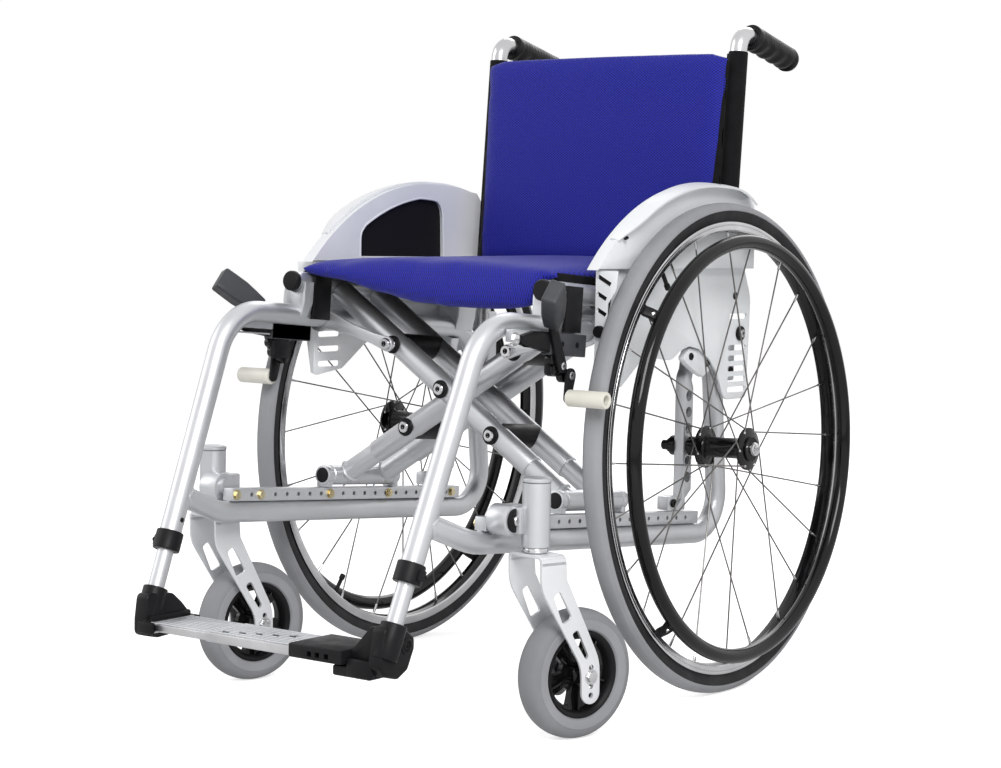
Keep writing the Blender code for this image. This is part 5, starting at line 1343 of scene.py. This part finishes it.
def brake_mount(side, sign):
    """A silver rail on the top tube, a tapered black clamp, and a block with three knuckles."""
    near = SIDE_X + TUBE + GAP
    lay = along_rail(0.0)
    parts = []
    for x_far, a_front, a_rear, b_low, b_high, edge, finish in (
        (0.208, -0.405, -0.283, 0.1085, 0.1225, 0.0012, "silver"),
        (0.2105, -0.4, -0.34, 0.102, 0.104, 0.0006, "silver"),
        (0.2075, -0.337, -0.266, 0.0975, 0.1225, 0.0012, "black"),
        (0.2108, -0.337, -0.266, 0.0975, 0.1225, 0.0008, "grey"),
        (0.2085, -0.332, -0.3, 0.074, 0.0985, 0.005, "black"),
    ):
        low_x, high_x = sorted((sign * near, sign * x_far))
        parts.append((block((low_x, b_low, -a_rear), (high_x, b_high, -a_front), lay, edge), finish))
    nose = (
        (-0.392, 0.108), (-0.392, 0.1165), (-0.37, 0.1225), (-0.338, 0.1235), (-0.338, 0.1),
        (-0.37, 0.103),
    )
    outline = [tuple(rail_point(0, a, b).yz) for a, b in nose]
    parts.append((slab(outline, 0.013, across(sign * 0.2068), 0.003, 3), "black"))
    for a, b, radius in ((-0.33, 0.093, 0.006), (-0.323, 0.082, 0.007), (-0.305, 0.076, 0.008)):
        knuckle = cross_rod(sign, 0.204, 0.2122, *rail_point(0, a, b).yz, radius, 32, 0.0008)
        parts.append((knuckle, "gloss"))
    bolt = rail_point(sign * 0.2078, -0.399, 0.112)
    parts += hex_head(bolt, (sign, 0, 0), 0.0056, 0.004, "chrome")
    for a in (-0.313, -0.284):
        head = rail_point(sign * 0.2106, a, 0.1105)
        parts += socket_screw(head, (sign, 0, 0), 0.0032, 0.001, "black")
    side_piece(side, "brake_bracket", "side", parts, "brake_mount")


def brake_lever(side, sign):
    pivot = rail_point(sign * 0.2125, -0.317, 0.086)
    foot, end = Vector((sign * 0.218, -0.331, 0.455)), Vector((sign * 0.248, -0.377, 0.494))
    lean = math.degrees(math.atan2(foot.z - pivot.z, foot.y - pivot.y))
    outline = arc((pivot.y, pivot.z), 0.0075, lean + 90, lean + 270, 16)
    outline += arc((foot.y, foot.z), 0.006, lean - 90, lean + 90, 12)
    parts = [(slab(outline, 0.004, across(sign * 0.2145), 0.0006), "black")]
    run = end - foot
    lay = aligned(foot, run, (1, 0, 0))
    work = bmesh.new()
    bmesh.ops.create_cube(work, size=1.0)
    bmesh.ops.subdivide_edges(work, edges=work.edges[:], cuts=3, use_grid_fill=True)
    for vert in work.verts:
        share = vert.co.z + 0.5
        wide = 0.0105 + 0.004 * min(1.0, share * 2.2)
        thick = 0.0088 + 0.001 * math.sin(math.pi * min(1.0, share))
        along = -0.001 + share * (run.length - 0.005)
        vert.co = Vector((vert.co.x * 2 * wide, vert.co.y * 2 * thick, along))
    soften(work, [e for e in work.edges if e.calc_face_angle(0) > 0.8], 0.0026, 3)
    bmesh.ops.recalc_face_normals(work, faces=work.faces)
    bmesh.ops.transform(work, matrix=lay, verts=work.verts)
    parts.append((mesh_of(work), "grey"))
    parts += socket_screw((sign * 0.2165, pivot.y, pivot.z), (sign, 0, 0), 0.0044, 0.0014)
    side_piece(side, "brake_paddle", "brake_handle", parts, "brake_lever", 45)


def brake_shoe(side, sign):
    """The arm under the mount and the roller it presses on the tyre."""
    arm_in, arm_thick = 0.2168, 0.0036
    pivot = rail_point(sign * 0.2125, -0.305, 0.076)
    y, z = -0.3035, 0.3704
    down = math.degrees(math.atan2(z - pivot.z, y - pivot.y))
    outline = arc((pivot.y, pivot.z), 0.0085, down + 90, down + 270, 16)
    outline += arc((y, z), 0.006, down - 90, down + 90, 16)
    middle = arm_in + arm_thick / 2
    parts = [(slab(outline, arm_thick, across(sign * middle), 0.0006), "black")]
    parts.append((cross_rod(sign, middle - 0.001, 0.265, y, z, 0.0032, 20), "steel"))
    parts += socket_screw((sign * 0.2199, pivot.y, pivot.z), (sign, 0, 0), 0.0046, 0.0018)
    side_piece(side, "brake_link", "brake_shoe", parts, "brake_arm")
    start = arm_in + arm_thick + GAP
    length = 0.271 - start
    lay = aligned((sign * start, y, z), (sign, 0, 0), (0, 1, 0))
    profile = [
        (0.0035, 0.0), (0.0088, 0.0), (0.0095, 0.0008), (0.0095, length - 0.001), (0.0089, length),
        (0.0062, length), (0.0056, length - 0.0008), (0.0054, length - 0.0085),
        (0.0035, length - 0.0085),
    ]
    low, high = length - 0.0088, length - 0.008
    end = turned([(0.0, low), (0.0054, low), (0.0054, high), (0.0, high)], lay, 32, False)
    parts = [(turned(profile, lay, 48), "cream"), (end, "black")]
    side_piece(side, "roller_sleeve", "brake_shoe", parts, "brake_roller")


# Seat and back


def worked(name, meshes):
    """Overlapping meshes as one object, to be remeshed into one skin."""
    return put(name, merged(meshes))


def applied(obj):
    mesh = evaluated(obj)
    obj.modifiers.clear()
    obj.data = mesh
    return obj


def swollen(obj, voxel=0.005, pressure=4.0):
    """Padding under its cover: the mesh is remeshed, blown up as cloth and held to a cap."""
    remesh = obj.modifiers.new("grid", "REMESH")
    remesh.mode = "VOXEL"
    remesh.voxel_size = voxel
    applied(obj)
    rest = [vert.co.copy() for vert in obj.data.vertices]
    cloth = obj.modifiers.new("cloth", "CLOTH")
    cloth.settings.use_pressure = True
    cloth.settings.uniform_pressure_force = pressure
    cloth.settings.effector_weights.gravity = 0.0
    cloth.settings.quality = 5
    cloth.point_cache.frame_start = 1
    cloth.point_cache.frame_end = SWELL_FRAMES
    for step in range(1, SWELL_FRAMES + 1):
        bpy.context.scene.frame_set(step)
    applied(obj)
    bpy.context.scene.frame_set(1)
    for vert, start in zip(obj.data.vertices, rest):
        move = vert.co - start
        if move.length > SWELL_CAP:
            vert.co = start + move.normalized() * SWELL_CAP
    smooth = obj.modifiers.new("even", "SMOOTH")
    smooth.factor = 0.5
    smooth.iterations = 14
    surface = obj.modifiers.new("fine", "SUBSURF")
    surface.levels = 1
    surface.render_levels = 1
    return applied(obj)


def lay_weave(mesh, measure):
    """A UV map in metres, from a function of a point."""
    layer = mesh.uv_layers.new(name="weave")
    for loop in mesh.loops:
        layer.data[loop.index].uv = measure(mesh.vertices[loop.vertex_index].co)


def soft_piece(obj, name, finish):
    obj.name = name
    obj.data.name = name
    obj.data.materials.clear()
    obj.data.materials.append(FINISHES[finish])
    obj.data.shade_smooth()
    return obj


SEAT_HALF = 0.19
LIP_HALF = 0.172
LIP_BOTTOM = [
    (-0.172, 0.4975), (-0.12, 0.487), (-0.081, 0.4775), (-0.02, 0.467), (0.03, 0.462), (0.1, 0.4605),
    (0.15, 0.462), (0.172, 0.464),
]
# Where the painted shade on the back pad's sides starts, and how far that line moves out towards the top.
PAD_SHADE_X = 0.171
PAD_SHADE_SPREAD = 0.013
SWELL_CAP = 0.0045
SWELL_FRAMES = 20


def level_between(table, x):
    """A value read off a table of (x, value) pairs."""
    for (x_low, low), (x_high, high) in zip(table, table[1:]):
        if x <= x_high:
            share = max(0.0, (x - x_low) / (x_high - x_low))
            return low + (high - low) * share
    return table[-1][1]


def lofted(rows):
    """A closed skin through equal rows of points, with flat ends."""
    work = bmesh.new()
    rings = [[work.verts.new(place) for place in row] for row in rows]
    for low, high in zip(rings, rings[1:]):
        for k in range(len(low)):
            after = (k + 1) % len(low)
            work.faces.new((low[k], low[after], high[after], high[k]))
    work.faces.new(rings[0])
    work.faces.new(rings[-1])
    bmesh.ops.recalc_face_normals(work, faces=work.faces)
    return mesh_of(work)


def seat_pad():
    """The pad slung between the rails: thin over them, thicker in the middle."""
    rows = []
    for i in range(39):
        x = -SEAT_HALF + 2 * SEAT_HALF * i / 38
        share = 1 - (x / SEAT_HALF) ** 2
        front, rear = 0.5075 + 0.009 * share, 0.511 + 0.009 * share
        deep = 0.0085 + 0.02 * share
        profile = [
            (-0.295, front - 0.001), (-0.28, front), (0.056, rear), (0.0615, rear - 0.004),
            (0.0615, rear - deep + 0.003), (0.056, rear - deep), (-0.29, front - deep),
            (-0.2985, front - 0.5 * deep),
        ]
        rows.append([(x, y, z) for y, z in profile])
    return lofted(rows)


def seat_lip():
    """The front of the seat, which hangs over the first brace tubes."""
    rows = []
    for i in range(35):
        x = -LIP_HALF + 2 * LIP_HALF * i / 34
        share = 1 - (x / SEAT_HALF) ** 2
        top, bottom = 0.5055 + 0.009 * share, level_between(LIP_BOTTOM, x) + 0.0025
        profile = [
            (-0.27, top - 0.002), (-0.294, top), (-0.301, top - 0.006), (-0.303, (top + bottom) / 2),
            (-0.301, bottom + 0.006), (-0.295, bottom), (-0.286, bottom + 0.001), (-0.276, bottom + 0.008),
        ]
        rows.append([(x, y, z) for y, z in profile])
    return lofted(rows)


def seat():
    obj = swollen(worked("seat_work", [seat_pad(), seat_lip()]))
    obj.data.transform(TO_PACKED)
    lay_weave(obj.data, lambda p: (p.x, p.y + p.z))
    soft_piece(obj, "seat_fabric", "blue_rib")
    obj.data.materials.append(FINISHES["tape"])
    # Faces turned downwards, behind the front lip, take the black tape: painted shade under the seat,
    # which the brace tubes also reflect.
    for poly in obj.data.polygons:
        poly.material_index = 1 if poly.normal.z < -0.4 and poly.center.y > SHIFT_Y - 0.285 else 0
    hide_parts("seat_cushion")
    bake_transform(obj)
    for side, sign in SIDES.items():
        leaf = "left_leaf" if side == "right" else "right_leaf"
        # A black strip on each rail under the fabric's edge: painted shade for the shadow line under the
        # seat.
        inner, outer = sorted((sign * 0.175, sign * 0.1868))
        edge = block((inner, 0.1806, -0.026), (outer, 0.1905, 0.294), along_rail(0.0), 0.002)
        piece(side + "_rail_shade_strip", leaf, [(edge, "tape")])


def cut_shade_line(mesh, low, high):
    """Cut a line into the pad on each side, where its painted shade starts: a black band along the side,
    wider towards the bottom.
    """
    work = bmesh.new()
    work.from_mesh(mesh)
    for sign in SIDES.values():
        lean = Vector((sign * PAD_SHADE_SPREAD, 0.0, high - low)).normalized()
        square = Vector((lean.z, 0.0, -lean.x))
        everything = work.verts[:] + work.edges[:] + work.faces[:]
        on_line = (sign * PAD_SHADE_X, 0, low)
        bmesh.ops.bisect_plane(work, geom=everything, plane_co=on_line, plane_no=square, dist=0.0002)
    work.to_mesh(mesh)
    work.free()


def back():
    low, high = 0.506, 0.785
    height = high - low

    def pad(half, thick, ahead):
        crown = [(half * (1 - i / 5), height + 0.0035 * (1 - (1 - i / 5) ** 2)) for i in range(11)]
        outline = soft_corners([(-half, 0.0), (half, 0.0)] + crown, 0.006, (0, 1, 2, 12))
        foot = post_point(0, low) - Vector((0.0, ahead, 0.0))
        way = (post_point(0, high) - post_point(0, low)).normalized()
        lay = Matrix((Vector((1, 0, 0)), way, Vector((1, 0, 0)).cross(way))).transposed().to_4x4()
        lay.translation = foot
        return slab(outline, thick, lay, 0.0025)

    obj = swollen(worked("back_work", [pad(0.19, 0.008, 0.0195), pad(0.179, 0.013, 0.0205)]))
    obj.data.transform(TO_PACKED)
    cut_shade_line(obj.data, low, high)
    lay_weave(obj.data, lambda p: (p.x, p.z))
    soft_piece(obj, "back_fabric", "blue")
    obj.data.materials.append(FINISHES["tape"])
    # Faces turned backwards take the black tape; so does a band along each side, wider towards the bottom,
    # as painted shade on the pad's shaded sides.
    for poly in obj.data.polygons:
        edge = PAD_SHADE_X + PAD_SHADE_SPREAD * (poly.center.z - low) / height
        poly.material_index = 1 if poly.normal.y > 0.3 or abs(poly.center.x) > edge else 0
    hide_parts("back_upholstery")
    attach(obj, "right_side")
    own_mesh(obj)
    for side, sign in SIDES.items():
        low_end, high_end = post_point(sign, 0.507), post_point(sign, 0.783)
        past = Vector((0, 0, 0.01))
        bore = rod(low_end - past, high_end + past, 0.0112)
        sleeve = cut(rod(low_end, high_end, 0.0122, 40, 0.0008), [bore])
        lean = (high_end - low_end).normalized()
        lay = Matrix((Vector((1, 0, 0)), Vector((1, 0, 0)).cross(lean), lean)).transposed().to_4x4()
        lay.translation = low_end
        inner, outer = sorted((-sign * 0.021, -sign * 0.002))
        flap = block((inner, -0.01, 0.0), (outer, -0.007, (high_end - low_end).length), lay, 0.0008)
        piece(side + "_back_sleeve", side + "_side", [(sleeve, "tape"), (flap, "tape")])


# Studio


def studio():
    """White surroundings that light the chair less than they show, a floor and three lamps."""
    bpy.context.scene.view_settings.view_transform = "Standard"
    world = bpy.data.worlds.new("studio")
    bpy.context.scene.world = world
    world.use_nodes = True
    nodes, links = world.node_tree.nodes, world.node_tree.links
    backdrop = tuned(nodes["Background"], Color=(1.0, 1.0, 1.0, 1.0))
    rays = nodes.new("ShaderNodeLightPath").outputs
    seen = reckoned(nodes, links, "MAXIMUM", rays["Is Camera Ray"], rays["Is Glossy Ray"])
    seen = reckoned(nodes, links, "MAXIMUM", seen, rays["Is Transmission Ray"])
    level = tuned(nodes.new("ShaderNodeMapRange"), To_Min=0.4, To_Max=1.0)
    links.new(seen, level.inputs["Value"])
    links.new(level.outputs["Result"], backdrop.inputs["Strength"])

    work = bmesh.new()
    bmesh.ops.create_grid(work, x_segments=1, y_segments=1, size=14.0)
    ground = put("floor", mesh_of(work))
    ground.data.materials.append(floor_finish())

    for name, place, size, power in (
        ("key", (2.6, -2.3, 2.7), 1.8, 120.0),
        ("fill", (-3.0, -1.8, 2.2), 2.6, 34.0),
        ("rim", (-1.0, 3.0, 2.6), 2.2, 34.0),
    ):
        data = bpy.data.lights.new(name, "AREA")
        data.shape = "SQUARE"
        data.size = size
        data.energy = power
        lamp = put(name, data)
        lamp.location = place
        lamp.rotation_mode = "QUATERNION"
        lamp.rotation_quaternion = (Vector((0, 0, 0.4)) - Vector(place)).to_track_quat("-Z", "Y")


def floor_finish():
    """White to the camera, and darker only in the object's own shadow."""
    made, nodes, links, shader = new_finish("floor")
    tuned(
        shader, Base_Color=(0.92, 0.92, 0.92, 1.0), Roughness=0.9, Specular_IOR_Level=0.1,
        Emission_Color=(1.0, 1.0, 1.0, 1.0),
    )
    seen = nodes.new("ShaderNodeLightPath").outputs["Is Camera Ray"]
    links.new(reckoned(nodes, links, "MULTIPLY", seen, 0.62), shader.inputs["Emission Strength"])
    return made


FOCAL_PIXELS = 2214.1
PICTURE_WIDTH = 1001


def camera():
    """The photograph's viewpoint, found from the outlines of the wheels."""
    yaw, pitch, roll = (math.radians(angle) for angle in (36.257, -3.901, 1.107))
    ahead = Vector((-math.sin(yaw) * math.cos(pitch), math.cos(yaw) * math.cos(pitch), math.sin(pitch)))
    level = Vector((math.cos(yaw), math.sin(yaw), 0.0))
    up = level.cross(ahead)
    right = level * math.cos(roll) + up * math.sin(roll)
    top = up * math.cos(roll) - level * math.sin(roll)
    data = bpy.data.cameras.new("camera")
    data.sensor_width = 36.0
    data.lens = FOCAL_PIXELS / PICTURE_WIDTH * 36.0
    data.clip_start = 0.1
    data.clip_end = 60.0
    obj = put("camera", data)
    turn = Matrix((right, top, -ahead)).transposed().to_4x4()
    obj.matrix_world = TO_PACKED @ Matrix.Translation((1.6051, -2.3196, 0.5512)) @ turn
    bpy.context.scene.camera = obj


studio()
camera()
for each, sign in SIDES.items():
    for maker in (rear_wheel, wheel_axle, caster_wheel, caster_fork):
        maker(each)
    for maker in (
        caster_housing, side_frame, seat_cradle, hole_rail, axle_bar, leg_extension, foot_casting,
        cross_arm, pivot_pin, seat_rail, guide_link, back_tube, push_grip, fender, guard_panel,
        brake_mount, brake_lever, brake_shoe,
    ):
        maker(each, sign)
centre_bolt()
footboard()
seat()
back()
